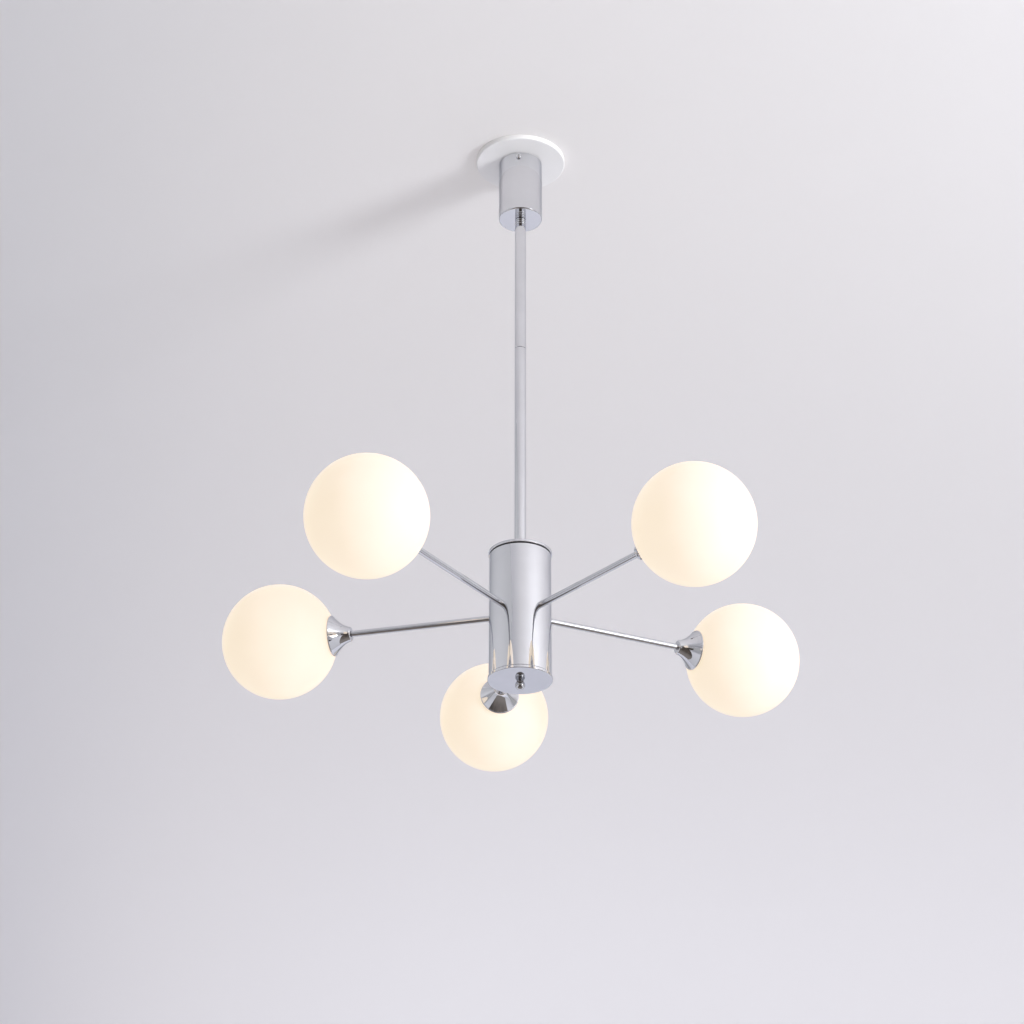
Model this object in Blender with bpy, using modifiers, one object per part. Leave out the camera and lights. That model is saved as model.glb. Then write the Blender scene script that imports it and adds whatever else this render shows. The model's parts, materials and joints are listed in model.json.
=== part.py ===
"""A five-arm globe chandelier that hangs from a ceiling on a rigid two-piece stem.

Metres, +Z up. The origin is the centre of the ceiling plate's upper face, where the
lamp meets the ceiling, so everything hangs below z = 0.
"""

import math

import bmesh
import bpy

MM = 0.001

# Driving dimensions ---------------------------------------------------------
FIT_GAP = 0.3 * MM  # left between any two pieces that touch

ARM_REACH = 321 * MM  # stem axis to the middle of a globe
ARM_COUNT = 5
FIRST_HEADING = math.radians(94.5)
# How far each arm was left from its even place when it was tightened by hand.
HEADING_SET = [math.radians(a) for a in (1.9, -0.7, -2.7, -0.6, 2.0)]

PLATE_RADIUS = 61.5 * MM
PLATE_THICKNESS = 7 * MM
PLATE_EDGE_ROUND = 0.9 * MM
PLATE_CABLE_HOLE_RADIUS = 5 * MM
PLATE_CABLE_HOLE_OFFSET = 15 * MM

CANOPY_RADIUS = 29.8 * MM
CANOPY_HEIGHT = 93.5 * MM
CANOPY_WALL = 1.2 * MM
CANOPY_EDGE_ROUND = 1.0 * MM
CANOPY_SCREW_HEADING = math.radians(265.6)
CANOPY_SCREW_DEPTH = 14.3 * MM  # below the ceiling
CANOPY_SCREW_RADIUS = 2 * MM
CANOPY_SCREW_HEAD_RADIUS = 3.4 * MM
CANOPY_SCREW_HEAD_LENGTH = 3.2 * MM

BRACKET_WIDTH = 16 * MM
BRACKET_SHEET = 1.5 * MM
BRACKET_TAB_LENGTH = 15 * MM
BRACKET_SIDE_GAP = 1.5 * MM  # bracket tab to canopy wall
PLATE_SCREW_RADIUS = 2 * MM
PLATE_SCREW_HEAD_RADIUS = 4 * MM
PLATE_SCREW_HEAD_HEIGHT = 2.6 * MM
PLATE_SCREW_OFFSET = 17 * MM

BLOCK_SIZE = (20 * MM, 13 * MM, 13 * MM)
BLOCK_EDGE_ROUND = 0.8 * MM

STEM_RADIUS = 7.5 * MM
STEM_WALL = 1.2 * MM
STEM_UPPER_LENGTH = 209.6 * MM
STEM_LOWER_LENGTH = 308.4 * MM
STEM_THREAD_DEPTH = 20 * MM  # length of the narrow bore at each end
STEM_EDGE_ROUND = 0.4 * MM

PIPE_RADIUS = 4.85 * MM  # threaded pipe that joins canopy, stem and hub
PIPE_BORE = 3.4 * MM
PIPE_ENGAGEMENT = 16 * MM  # length of pipe inside each stem end
PIPE_NUT_ACROSS_FLATS = 15 * MM
PIPE_NUT_HEIGHT = 4 * MM
PIPE_WASHER_RADIUS = 9 * MM
PIPE_WASHER_HEIGHT = 1 * MM
PIPE_BEYOND_NUT = 3 * MM

HUB_RADIUS = 39.7 * MM
HUB_WALL = 1.2 * MM
HUB_HEIGHT = 180.2 * MM  # over both caps
HUB_BELOW_ARMS = 91.3 * MM  # from the level of the arms down to the bottom cap's face
CAP_RADIUS = 41 * MM
CAP_LIP = 4 * MM
CAP_PLATE = 2.5 * MM
CAP_EDGE_ROUND = 0.7 * MM
CAP_SPIGOT_DEPTH = 5 * MM
CAP_SPIGOT_WALL = 1.5 * MM

FINIAL_RADIUS = 6.3 * MM
FINIAL_SHANK_RADIUS = 2.4 * MM
FINIAL_SHANK_LENGTH = 18 * MM
FINIAL_NECK_RADIUS = 3.2 * MM
SPINDLE_BOTTOM_GAP = 1.5 * MM  # spindle end to the bottom cap
SPINDLE_PLUG_LENGTH = 20 * MM
SLOT_WIDTH = 6.2 * MM
SLOT_LENGTH = 30 * MM
SLOT_BELOW_NUT = 6 * MM

ARM_RADIUS = 4 * MM
ARM_BORE = 3 * MM
ARM_EDGE_ROUND = 0.5 * MM
ARM_NECK_RADIUS = 2.9 * MM  # threaded ends, through hub and cup
ARM_NECK_BORE = 2.1 * MM
ARM_NECK_IN_HUB = 10.5 * MM
ARM_NECK_IN_CUP = 12 * MM
ARM_NUT_ACROSS_FLATS = 10 * MM
ARM_NUT_HEIGHT = 4 * MM

GLOBE_RADIUS = 75 * MM
GLOBE_WALL = 2.5 * MM
NECK_RADIUS = 17 * MM
NECK_LENGTH = 5 * MM
NECK_RING_WALL = 2 * MM
NECK_RING_LENGTH = 9 * MM

CUP_LENGTH = 26 * MM
CUP_BEYOND_NECK = 9.3 * MM  # rim radius over the glass neck's
CUP_NECK_CLEARANCE = 0.9 * MM
CUP_FLARE_POWER = 2.2  # how late the cup opens out
CUP_SMALL_RADIUS = 9.4 * MM
CUP_WALL = 1.1 * MM
CUP_BACK = 2 * MM
CUP_BACK_ROUND = 1.4 * MM

HOLDER_BASE_RADIUS = 7 * MM
HOLDER_TOP_RADIUS = 10 * MM
HOLDER_TOP_LENGTH = 5 * MM
HOLDER_WALL = 2 * MM  # between the arm's end and the bulb's socket
BULB_BASE_RADIUS = 6.8 * MM  # small screw base
BULB_BASE_BEYOND = 1.2 * MM  # base left outside the holder
BULB_RADIUS = 8.5 * MM
BULB_GLASS_LENGTH = 50 * MM

CABLE_RADIUS = 2.5 * MM
LEAD_RADIUS = 1.5 * MM
LEAD_BEND = 13 * MM
BOARD_OUTER_RADIUS = 15 * MM
BOARD_THICKNESS = 7 * MM
BOARD_BELOW_ARMS = 26 * MM
LEAD_CIRCLE = 11 * MM  # radius at which leads and cable meet the board

LARGE_STEPS = 32  # sides of the plate, canopy and hub
ROUND_STEPS = 20
SMALL_STEPS = 12
GLOBE_RINGS = 6
CUP_RINGS = 4

# Levels that follow from the sizes above --------------------------------------
CANOPY_TOP = -PLATE_THICKNESS - FIT_GAP
CANOPY_BOTTOM = CANOPY_TOP - CANOPY_HEIGHT
STEM_TOP = CANOPY_BOTTOM - FIT_GAP
STEM_JOINT = STEM_TOP - STEM_UPPER_LENGTH
STEM_LOWER_TOP = STEM_JOINT - FIT_GAP
STEM_BOTTOM = STEM_LOWER_TOP - STEM_LOWER_LENGTH
HUB_TOP = STEM_BOTTOM - FIT_GAP
HUB_BOTTOM = HUB_TOP - HUB_HEIGHT
ARM_LEVEL = HUB_BOTTOM + HUB_BELOW_ARMS
BRACKET_HALF = CANOPY_RADIUS - CANOPY_WALL - BRACKET_SIDE_GAP
BRACKET_TOP = -PLATE_THICKNESS - FIT_GAP
BODY_TOP = HUB_TOP - CAP_LIP - FIT_GAP
BODY_BOTTOM = HUB_BOTTOM + CAP_LIP + FIT_GAP
BODY_BORE = HUB_RADIUS - HUB_WALL
ARM_START = HUB_RADIUS + FIT_GAP
GLOBE_INNER = GLOBE_RADIUS - GLOBE_WALL
CUP_RIM_RADIUS = NECK_RADIUS + CUP_BEYOND_NECK
CUP_RIM = ARM_REACH - math.sqrt(GLOBE_RADIUS**2 - (CUP_RIM_RADIUS - CUP_WALL) ** 2) - FIT_GAP
CUP_START = CUP_RIM - CUP_LENGTH
NECK_ROOT = ARM_REACH - math.sqrt(GLOBE_RADIUS**2 - NECK_RADIUS**2)
NECK_END = NECK_ROOT - NECK_LENGTH
NECK_BORE = NECK_RADIUS - GLOBE_WALL
RING_OUTER = NECK_BORE - FIT_GAP
RING_INNER = RING_OUTER - NECK_RING_WALL
HOLDER_START = CUP_START + CUP_BACK + FIT_GAP
HOLDER_BARREL_RADIUS = RING_INNER - FIT_GAP
HOLDER_BARREL_END = NECK_END + NECK_RING_LENGTH + 1 * MM
HOLDER_END = HOLDER_BARREL_END + HOLDER_TOP_LENGTH
ARM_END = CUP_START + ARM_NECK_IN_CUP
ARM_STOP = ARM_END + 1 * MM
SOCKET_FLOOR = ARM_STOP + HOLDER_WALL
BULB_START = SOCKET_FLOOR + FIT_GAP
BULB_SHOULDER = HOLDER_END + BULB_BASE_BEYOND
THREAD_HOLE = ARM_NECK_RADIUS + FIT_GAP
PIPE_HOLE = PIPE_RADIUS + FIT_GAP
BOARD_TOP = ARM_LEVEL - BOARD_BELOW_ARMS + BOARD_THICKNESS


# Scene and materials ------------------------------------------------------------
def clear_scene():
    for item in list(bpy.data.objects):
        bpy.data.objects.remove(item, do_unlink=True)


def new_collection(name):
    made = bpy.data.collections.new(name)
    bpy.context.scene.collection.children.link(made)
    return made


def new_material(name, colour, roughness, metallic=0.0, glow=0.0):
    made = bpy.data.materials.new(name)
    made.use_nodes = True
    shader = made.node_tree.nodes["Principled BSDF"]
    shader.inputs["Base Color"].default_value = (*colour, 1)
    shader.inputs["Roughness"].default_value = roughness
    shader.inputs["Metallic"].default_value = metallic
    shader.inputs["Emission Color"].default_value = (1, 0.86, 0.62, 1)
    shader.inputs["Emission Strength"].default_value = glow
    made.diffuse_color = (*colour, 1)
    return made


clear_scene()
PARTS = new_collection("globe_chandelier")
CUTTERS = new_collection("cutters")

CHROME = new_material("chrome", (0.80, 0.81, 0.84), 0.04, 1)
STEEL = new_material("zinc_steel", (0.62, 0.62, 0.60), 0.35, 1)
BRASS = new_material("brass", (0.72, 0.55, 0.27), 0.30, 1)
WHITE = new_material("white_plastic", (0.88, 0.88, 0.87), 0.45)
OPAL = new_material("opal_glass", (0.95, 0.92, 0.86), 0.25, 0, 0.4)
CERAMIC = new_material("ceramic", (0.86, 0.85, 0.80), 0.40)
BULB = new_material("bulb", (0.95, 0.90, 0.75), 0.30, 0, 2.0)
CABLE = new_material("cable", (0.80, 0.80, 0.80), 0.50)


# Shape helpers --------------------------------------------------------------------
def add_object(name, data, material, parent=None, collection=PARTS):
    made = bpy.data.objects.new(name, data)
    collection.objects.link(made)
    if material is not None and not data.materials:
        data.materials.append(material)
    made.parent = parent
    return made


def arc(centre, radius, start, end, steps):
    """Points on an arc in the (radius, height) plane, angles from the +radius side."""
    span = end - start
    return [
        (
            centre[0] + radius * math.cos(start + span * i / steps),
            centre[1] + radius * math.sin(start + span * i / steps),
        )
        for i in range(steps + 1)
    ]


def softened(points, closed, steps=1):
    """Replaces each corner given as (radius, height, fillet) by a small curve."""
    made = []
    count = len(points)
    for i, point in enumerate(points):
        ends = not closed and i in (0, count - 1)
        if len(point) < 3 or ends:
            made.append(point[:2])
            continue
        before, after = points[i - 1], points[(i + 1) % count]
        corner_x, corner_z, fillet = point
        ways = []
        for other in (before, after):
            dx, dz = other[0] - corner_x, other[1] - corner_z
            length = math.hypot(dx, dz)
            ways.append((dx / length, dz / length))
        start = (corner_x + ways[0][0] * fillet, corner_z + ways[0][1] * fillet)
        end = (corner_x + ways[1][0] * fillet, corner_z + ways[1][1] * fillet)
        for step in range(steps + 1):
            t = step / steps
            made.append(
                tuple(
                    (1 - t) ** 2 * a + 2 * t * (1 - t) * b + t**2 * c
                    for a, b, c in zip(start, (corner_x, corner_z), end)
                )
            )
    return made


def turned(name, points, material, parent=None, closed=False, steps=ROUND_STEPS):
    """A shape turned about its Z axis from a profile that runs down its outer side."""
    profile = softened(points, closed)
    edges = [(i, i + 1) for i in range(len(profile) - 1)]
    if closed:
        edges.append((len(profile) - 1, 0))
    mesh = bpy.data.meshes.new(name)
    mesh.from_pydata([(r, 0, z) for r, z in profile], edges, [])
    made = add_object(name, mesh, material, parent)
    spin = made.modifiers.new("Screw", "SCREW")
    spin.axis = "Z"
    spin.steps = steps
    spin.render_steps = steps
    spin.use_merge_vertices = True
    spin.merge_threshold = 0.00001
    spin.use_smooth_shade = True
    return made


def ring_profile(outer, inner, top, bottom, fillet=0.0):
    """The closed profile of a plain ring or tube."""
    outer_corners = [(outer, top, fillet), (outer, bottom, fillet)] if fillet else [(outer, top), (outer, bottom)]
    return [(inner, top), *outer_corners, (inner, bottom)]


def cylinder_cutter(name, radius, length, parent=None, location=(0, 0, 0), rotation=(0, 0, 0)):
    """A helper cylinder about its Z axis, centred on its location, that only cuts."""
    mesh = bpy.data.meshes.new(name)
    shape = bmesh.new()
    bmesh.ops.create_cone(
        shape, cap_ends=True, segments=SMALL_STEPS, radius1=radius, radius2=radius, depth=length
    )
    shape.to_mesh(mesh)
    shape.free()
    made = add_object(name, mesh, None, parent, CUTTERS)
    made.location = location
    made.rotation_euler = rotation
    made.hide_render = True
    made.display_type = "WIRE"
    return made


def cut(target, cutter):
    change = target.modifiers.new("Cut_" + cutter.name, "BOOLEAN")
    change.operation = "DIFFERENCE"
    change.object = cutter


def flat_outline(name, rings, thickness, material, parent=None):
    """A flat plate with its middle plane at z = 0, from an outline and its holes."""
    curve = bpy.data.curves.new(name, "CURVE")
    curve.dimensions = "2D"
    curve.fill_mode = "BOTH"
    curve.extrude = thickness / 2
    for ring in rings:
        spline = curve.splines.new("POLY")
        spline.points.add(len(ring) - 1)
        for point, (x, y) in zip(spline.points, ring):
            point.co = (x, y, 0, 1)
        spline.use_cyclic_u = True
    return add_object(name, curve, material, parent)


def circle_points(radius, count, turn=0.0):
    return [
        (radius * math.cos(turn + math.tau * i / count), radius * math.sin(turn + math.tau * i / count))
        for i in range(count)
    ]


def hex_nut(name, across_flats, bore, height, middle, material, parent=None):
    outline = circle_points(across_flats / 2 / math.cos(math.pi / 6), 6)
    made = flat_outline(name, [outline, circle_points(bore, SMALL_STEPS)], height, material, parent)
    made.location = (0, 0, middle)
    return made


def axis_empty(name, location, rotation, parent=None):
    made = bpy.data.objects.new(name, None)
    PARTS.objects.link(made)
    made.location = location
    made.rotation_euler = rotation
    made.parent = parent
    made.empty_display_size = 0.02
    return made


def tube_mesh(name, points, radius):
    """A closed round tube along the points, as a mesh object."""
    curve = bpy.data.curves.new(name, "CURVE")
    curve.dimensions = "3D"
    curve.bevel_depth = radius
    curve.bevel_resolution = 2
    curve.use_fill_caps = True
    spline = curve.splines.new("POLY")
    spline.points.add(len(points) - 1)
    for point, place in zip(spline.points, points):
        point.co = (*place, 1)
    source = add_object(name + "_path", curve, None)
    bpy.context.view_layer.update()
    graph = bpy.context.evaluated_depsgraph_get()
    mesh = bpy.data.meshes.new_from_object(source.evaluated_get(graph))
    bpy.data.objects.remove(source, do_unlink=True)
    shape = bmesh.new()
    shape.from_mesh(mesh)
    bmesh.ops.remove_doubles(shape, verts=shape.verts, dist=0.00001)
    shape.to_mesh(mesh)
    shape.free()
    return mesh


# Ceiling plate, bracket and canopy ----------------------------------------------------
def make_ceiling_plate(screw_axis):
    plate = turned(
        "ceiling_plate",
        [
            (0, 0),
            (PLATE_RADIUS, 0),
            (PLATE_RADIUS, -PLATE_THICKNESS, PLATE_EDGE_ROUND),
            (0, -PLATE_THICKNESS),
        ],
        WHITE,
        steps=LARGE_STEPS,
    )
    cable_hole = cylinder_cutter(
        "plate_cable_hole",
        PLATE_CABLE_HOLE_RADIUS,
        3 * PLATE_THICKNESS,
        screw_axis,
        (0, PLATE_CABLE_HOLE_OFFSET, 0),
    )
    cut(plate, cable_hole)
    for side in (-1, 1):
        hole = cylinder_cutter(
            f"plate_screw_hole_{'ab'[side > 0]}",
            PLATE_SCREW_RADIUS + FIT_GAP,
            3 * PLATE_THICKNESS,
            screw_axis,
            (side * PLATE_SCREW_OFFSET, 0, 0),
        )
        cut(plate, hole)


def make_bracket(screw_axis):
    """A strap across the canopy with both ends bent down, drilled for four screws."""
    inset = BRACKET_SHEET / 2
    # The tab corners must stay inside the round canopy.
    reach = math.sqrt(BRACKET_HALF**2 - (BRACKET_WIDTH / 2) ** 2) - inset
    top = BRACKET_TOP - inset
    outline = [(-reach, top - BRACKET_TAB_LENGTH), (-reach, top), (reach, top), (reach, top - BRACKET_TAB_LENGTH)]
    shape = bmesh.new()
    corners = [shape.verts.new((x, -BRACKET_WIDTH / 2, z)) for x, z in outline]
    edges = [shape.edges.new(pair) for pair in zip(corners, corners[1:])]
    swept = bmesh.ops.extrude_edge_only(shape, edges=edges)["geom"]
    moved = [item for item in swept if isinstance(item, bmesh.types.BMVert)]
    bmesh.ops.translate(shape, verts=moved, vec=(0, BRACKET_WIDTH, 0))
    mesh = bpy.data.meshes.new("mounting_bracket")
    shape.to_mesh(mesh)
    shape.free()
    bracket = add_object("mounting_bracket", mesh, STEEL, screw_axis)
    sheet = bracket.modifiers.new("Solidify", "SOLIDIFY")
    sheet.thickness = BRACKET_SHEET
    sheet.offset = 0
    sheet.use_even_offset = True
    for side in (-1, 1):
        letter = "ab"[side > 0]
        tab_hole = cylinder_cutter(
            f"tab_hole_{letter}",
            CANOPY_SCREW_RADIUS + FIT_GAP,
            6 * BRACKET_SHEET,
            screw_axis,
            (side * reach, 0, -CANOPY_SCREW_DEPTH),
            (0, math.pi / 2, 0),
        )
        cut(bracket, tab_hole)
        strap_hole = cylinder_cutter(
            f"strap_hole_{letter}",
            PLATE_SCREW_RADIUS + FIT_GAP,
            6 * BRACKET_SHEET,
            screw_axis,
            (side * PLATE_SCREW_OFFSET, 0, top),
        )
        cut(bracket, strap_hole)


def make_plate_screws(screw_axis):
    head_top = BRACKET_TOP - BRACKET_SHEET - FIT_GAP
    for side in (-1, 1):
        screw = turned(
            f"plate_screw_{1 if side < 0 else 2}",
            [
                (0, -FIT_GAP),
                (PLATE_SCREW_RADIUS, -FIT_GAP),
                (PLATE_SCREW_RADIUS, head_top),
                (PLATE_SCREW_HEAD_RADIUS, head_top),
                (PLATE_SCREW_HEAD_RADIUS, head_top - PLATE_SCREW_HEAD_HEIGHT, 1.2 * MM),
                (0, head_top - PLATE_SCREW_HEAD_HEIGHT),
            ],
            STEEL,
            screw_axis,
            steps=SMALL_STEPS,
        )
        screw.location = (side * PLATE_SCREW_OFFSET, 0, 0)


def make_canopy(screw_axis):
    bore = CANOPY_RADIUS - CANOPY_WALL
    canopy = turned(
        "canopy",
        [
            (bore, CANOPY_TOP),
            (CANOPY_RADIUS, CANOPY_TOP),
            (CANOPY_RADIUS, CANOPY_BOTTOM, CANOPY_EDGE_ROUND),
            (PIPE_HOLE, CANOPY_BOTTOM),
            (PIPE_HOLE, CANOPY_BOTTOM + CANOPY_WALL),
            (bore, CANOPY_BOTTOM + CANOPY_WALL),
        ],
        CHROME,
        closed=True,
        steps=LARGE_STEPS,
    )
    for side in (-1, 1):
        hole = cylinder_cutter(
            f"canopy_screw_hole_{'ab'[side > 0]}",
            CANOPY_SCREW_RADIUS + FIT_GAP,
            8 * CANOPY_WALL,
            screw_axis,
            (side * CANOPY_RADIUS, 0, -CANOPY_SCREW_DEPTH),
            (0, math.pi / 2, 0),
        )
        cut(canopy, hole)


def make_canopy_screws(screw_axis):
    """Ball-headed thumb screws, from outside the canopy into the bracket's tabs."""
    head_start = CANOPY_RADIUS + FIT_GAP
    tip = CANOPY_RADIUS - 10 * MM
    for side in (-1, 1):
        screw = turned(
            f"canopy_screw_{1 if side < 0 else 2}",
            [
                (0, head_start + CANOPY_SCREW_HEAD_LENGTH),
                (CANOPY_SCREW_HEAD_RADIUS, head_start + CANOPY_SCREW_HEAD_LENGTH, 2.2 * MM),
                (CANOPY_SCREW_HEAD_RADIUS, head_start),
                (CANOPY_SCREW_RADIUS, head_start),
                (CANOPY_SCREW_RADIUS, tip),
                (0, tip),
            ],
            CHROME,
            screw_axis,
            steps=SMALL_STEPS,
        )
        screw.location = (0, 0, -CANOPY_SCREW_DEPTH)
        screw.rotation_euler = (0, side * math.pi / 2, 0)


def make_block(screw_axis):
    """The terminal block that joins the house wires to the lamp's cable."""
    mesh = bpy.data.meshes.new("terminal_block")
    shape = bmesh.new()
    bmesh.ops.create_cube(shape, size=1)
    bmesh.ops.scale(shape, vec=BLOCK_SIZE, verts=shape.verts)
    shape.to_mesh(mesh)
    shape.free()
    block = add_object("terminal_block", mesh, WHITE, screw_axis)
    block.location = (0, 0, BRACKET_TOP - BRACKET_SHEET - FIT_GAP - BLOCK_SIZE[2] / 2)
    edge = block.modifiers.new("Bevel", "BEVEL")
    edge.width = BLOCK_EDGE_ROUND
    edge.segments = 1


# Threaded pipes, nuts and washers -------------------------------------------------------
CANOPY_FLOOR = CANOPY_BOTTOM + CANOPY_WALL
CANOPY_WASHER_TOP = CANOPY_FLOOR + FIT_GAP + PIPE_WASHER_HEIGHT
CANOPY_NUT_TOP = CANOPY_WASHER_TOP + FIT_GAP + PIPE_NUT_HEIGHT
HUB_WASHER_BOTTOM = HUB_TOP - CAP_PLATE - FIT_GAP - PIPE_WASHER_HEIGHT
HUB_NUT_BOTTOM = HUB_WASHER_BOTTOM - FIT_GAP - PIPE_NUT_HEIGHT
SPINDLE_BOTTOM = HUB_BOTTOM + CAP_PLATE + SPINDLE_BOTTOM_GAP
SLOT_MIDDLE = HUB_NUT_BOTTOM - SLOT_BELOW_NUT - SLOT_LENGTH / 2
# The cable leaves the spindle midway between the fifth and the first arm.
CABLE_HEADING = FIRST_HEADING - math.pi / ARM_COUNT + (HEADING_SET[0] + HEADING_SET[-1]) / 2


def make_pipes():
    turned(
        "canopy_nipple",
        ring_profile(PIPE_RADIUS, PIPE_BORE, CANOPY_NUT_TOP + PIPE_BEYOND_NUT, STEM_TOP - PIPE_ENGAGEMENT),
        STEEL,
        closed=True,
        steps=SMALL_STEPS,
    )
    turned(
        "stem_coupler",
        ring_profile(PIPE_RADIUS, PIPE_BORE, STEM_JOINT + PIPE_ENGAGEMENT, STEM_LOWER_TOP - PIPE_ENGAGEMENT),
        STEEL,
        closed=True,
        steps=SMALL_STEPS,
    )
    tapped = FINIAL_SHANK_RADIUS + FIT_GAP
    spindle = turned(
        "hub_spindle",
        [
            (PIPE_BORE, STEM_BOTTOM + PIPE_ENGAGEMENT),
            (PIPE_RADIUS, STEM_BOTTOM + PIPE_ENGAGEMENT),
            (PIPE_RADIUS, SPINDLE_BOTTOM),
            (tapped, SPINDLE_BOTTOM),
            (tapped, SPINDLE_BOTTOM + SPINDLE_PLUG_LENGTH),
            (PIPE_BORE, SPINDLE_BOTTOM + SPINDLE_PLUG_LENGTH + 2 * MM),
        ],
        STEEL,
        closed=True,
        steps=SMALL_STEPS,
    )
    slot_axis = axis_empty("slot_axis", (0, 0, SLOT_MIDDLE), (0, 0, CABLE_HEADING))
    mesh = bpy.data.meshes.new("spindle_slot")
    shape = bmesh.new()
    bmesh.ops.create_cube(shape, size=1)
    bmesh.ops.scale(shape, vec=(2 * PIPE_RADIUS, SLOT_WIDTH, SLOT_LENGTH), verts=shape.verts)
    shape.to_mesh(mesh)
    shape.free()
    slot = add_object("spindle_slot", mesh, None, slot_axis, CUTTERS)
    slot.location = (PIPE_RADIUS, 0, 0)
    slot.hide_render = True
    slot.display_type = "WIRE"
    cut(spindle, slot)


def make_pipe_fasteners():
    washer_hole = PIPE_HOLE
    turned(
        "canopy_washer",
        ring_profile(PIPE_WASHER_RADIUS, washer_hole, CANOPY_WASHER_TOP, CANOPY_FLOOR + FIT_GAP),
        STEEL,
        closed=True,
        steps=SMALL_STEPS,
    )
    hex_nut(
        "canopy_nut",
        PIPE_NUT_ACROSS_FLATS,
        PIPE_HOLE,
        PIPE_NUT_HEIGHT,
        CANOPY_NUT_TOP - PIPE_NUT_HEIGHT / 2,
        BRASS,
    )
    turned(
        "hub_washer",
        ring_profile(
            PIPE_WASHER_RADIUS, washer_hole, HUB_WASHER_BOTTOM + PIPE_WASHER_HEIGHT, HUB_WASHER_BOTTOM
        ),
        STEEL,
        closed=True,
        steps=SMALL_STEPS,
    )
    hex_nut(
        "hub_nut",
        PIPE_NUT_ACROSS_FLATS,
        PIPE_HOLE,
        PIPE_NUT_HEIGHT,
        HUB_NUT_BOTTOM + PIPE_NUT_HEIGHT / 2,
        BRASS,
    )


# Stem ---------------------------------------------------------------------------------
def make_stem_tube(name, top, length):
    """A tube with a narrower threaded bore at both ends."""
    bottom = top - length
    bore = STEM_RADIUS - STEM_WALL
    turned(
        name,
        [
            (PIPE_HOLE, top),
            (STEM_RADIUS, top, STEM_EDGE_ROUND),
            (STEM_RADIUS, bottom, STEM_EDGE_ROUND),
            (PIPE_HOLE, bottom),
            (PIPE_HOLE, bottom + STEM_THREAD_DEPTH),
            (bore, bottom + STEM_THREAD_DEPTH + 1 * MM),
            (bore, top - STEM_THREAD_DEPTH - 1 * MM),
            (PIPE_HOLE, top - STEM_THREAD_DEPTH),
        ],
        CHROME,
        closed=True,
        steps=ROUND_STEPS,
    )


# Hub ----------------------------------------------------------------------------------
def cap_profile(face, towards_body, hole):
    """Half section of a cap: a plate with a lip outside the body and a spigot inside."""
    spigot = BODY_BORE - FIT_GAP
    inner = spigot - CAP_SPIGOT_WALL
    lip_end = face + towards_body * CAP_LIP
    plate_back = face + towards_body * CAP_PLATE
    spigot_end = lip_end + towards_body * CAP_SPIGOT_DEPTH
    points = [
        (hole, face),
        (CAP_RADIUS, face, CAP_EDGE_ROUND),
        (CAP_RADIUS, lip_end, CAP_EDGE_ROUND),
        (spigot, lip_end),
        (spigot, spigot_end),
        (inner, spigot_end),
        (inner, plate_back),
        (hole, plate_back),
    ]
    return points if towards_body < 0 else points[::-1]


def make_hub():
    turned(
        "hub_top_cap",
        cap_profile(HUB_TOP, -1, PIPE_HOLE),
        CHROME,
        closed=True,
        steps=LARGE_STEPS,
    )
    turned(
        "hub_bottom_cap",
        cap_profile(HUB_BOTTOM, 1, FINIAL_SHANK_RADIUS + FIT_GAP),
        CHROME,
        closed=True,
        steps=LARGE_STEPS,
    )
    body = turned(
        "hub_body",
        ring_profile(HUB_RADIUS, BODY_BORE, BODY_TOP, BODY_BOTTOM),
        CHROME,
        closed=True,
        steps=LARGE_STEPS,
    )
    return body


def make_finial():
    """A ball-headed screw that pulls the bottom cap up against the hub body."""
    seat = HUB_BOTTOM - FIT_GAP
    rise = math.sqrt(FINIAL_RADIUS**2 - FINIAL_NECK_RADIUS**2)
    start = math.atan2(rise, FINIAL_NECK_RADIUS)
    ball = arc((0, seat - rise), FINIAL_RADIUS, start, -math.pi / 2, 6)
    ball[-1] = (0, seat - rise - FINIAL_RADIUS)
    shank_top = seat + FINIAL_SHANK_LENGTH
    turned(
        "finial_screw",
        [(0, shank_top), (FINIAL_SHANK_RADIUS, shank_top), (FINIAL_SHANK_RADIUS, seat), *ball],
        CHROME,
        steps=SMALL_STEPS,
    )


# Arms, cups, lamp holders and globes: Z runs outwards along the arm -------------------------
def make_arm(number, axis):
    inner_end = ARM_START - ARM_NECK_IN_HUB
    shoulder = CUP_START - FIT_GAP
    turned(
        f"arm_tube_{number}",
        [
            (ARM_NECK_BORE, ARM_END),
            (ARM_NECK_RADIUS, ARM_END),
            (ARM_NECK_RADIUS, shoulder),
            (ARM_RADIUS, shoulder),
            (ARM_RADIUS, ARM_START, ARM_EDGE_ROUND),
            (ARM_NECK_RADIUS, ARM_START),
            (ARM_NECK_RADIUS, inner_end),
            (ARM_NECK_BORE, inner_end),
        ],
        CHROME,
        axis,
        closed=True,
        steps=SMALL_STEPS,
    )
    # A flat nut touches the round inner wall with its corners.
    corner = ARM_NUT_ACROSS_FLATS / 2 / math.cos(math.pi / 6)
    nut_face = math.sqrt(BODY_BORE**2 - corner**2) - FIT_GAP
    hex_nut(
        f"arm_nut_{number}",
        ARM_NUT_ACROSS_FLATS,
        THREAD_HOLE,
        ARM_NUT_HEIGHT,
        nut_face - ARM_NUT_HEIGHT / 2,
        STEEL,
        axis,
    )
    return cylinder_cutter(
        f"hub_arm_hole_{number}", THREAD_HOLE, 8 * HUB_WALL, axis, (0, 0, HUB_RADIUS - HUB_WALL / 2)
    )


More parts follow.
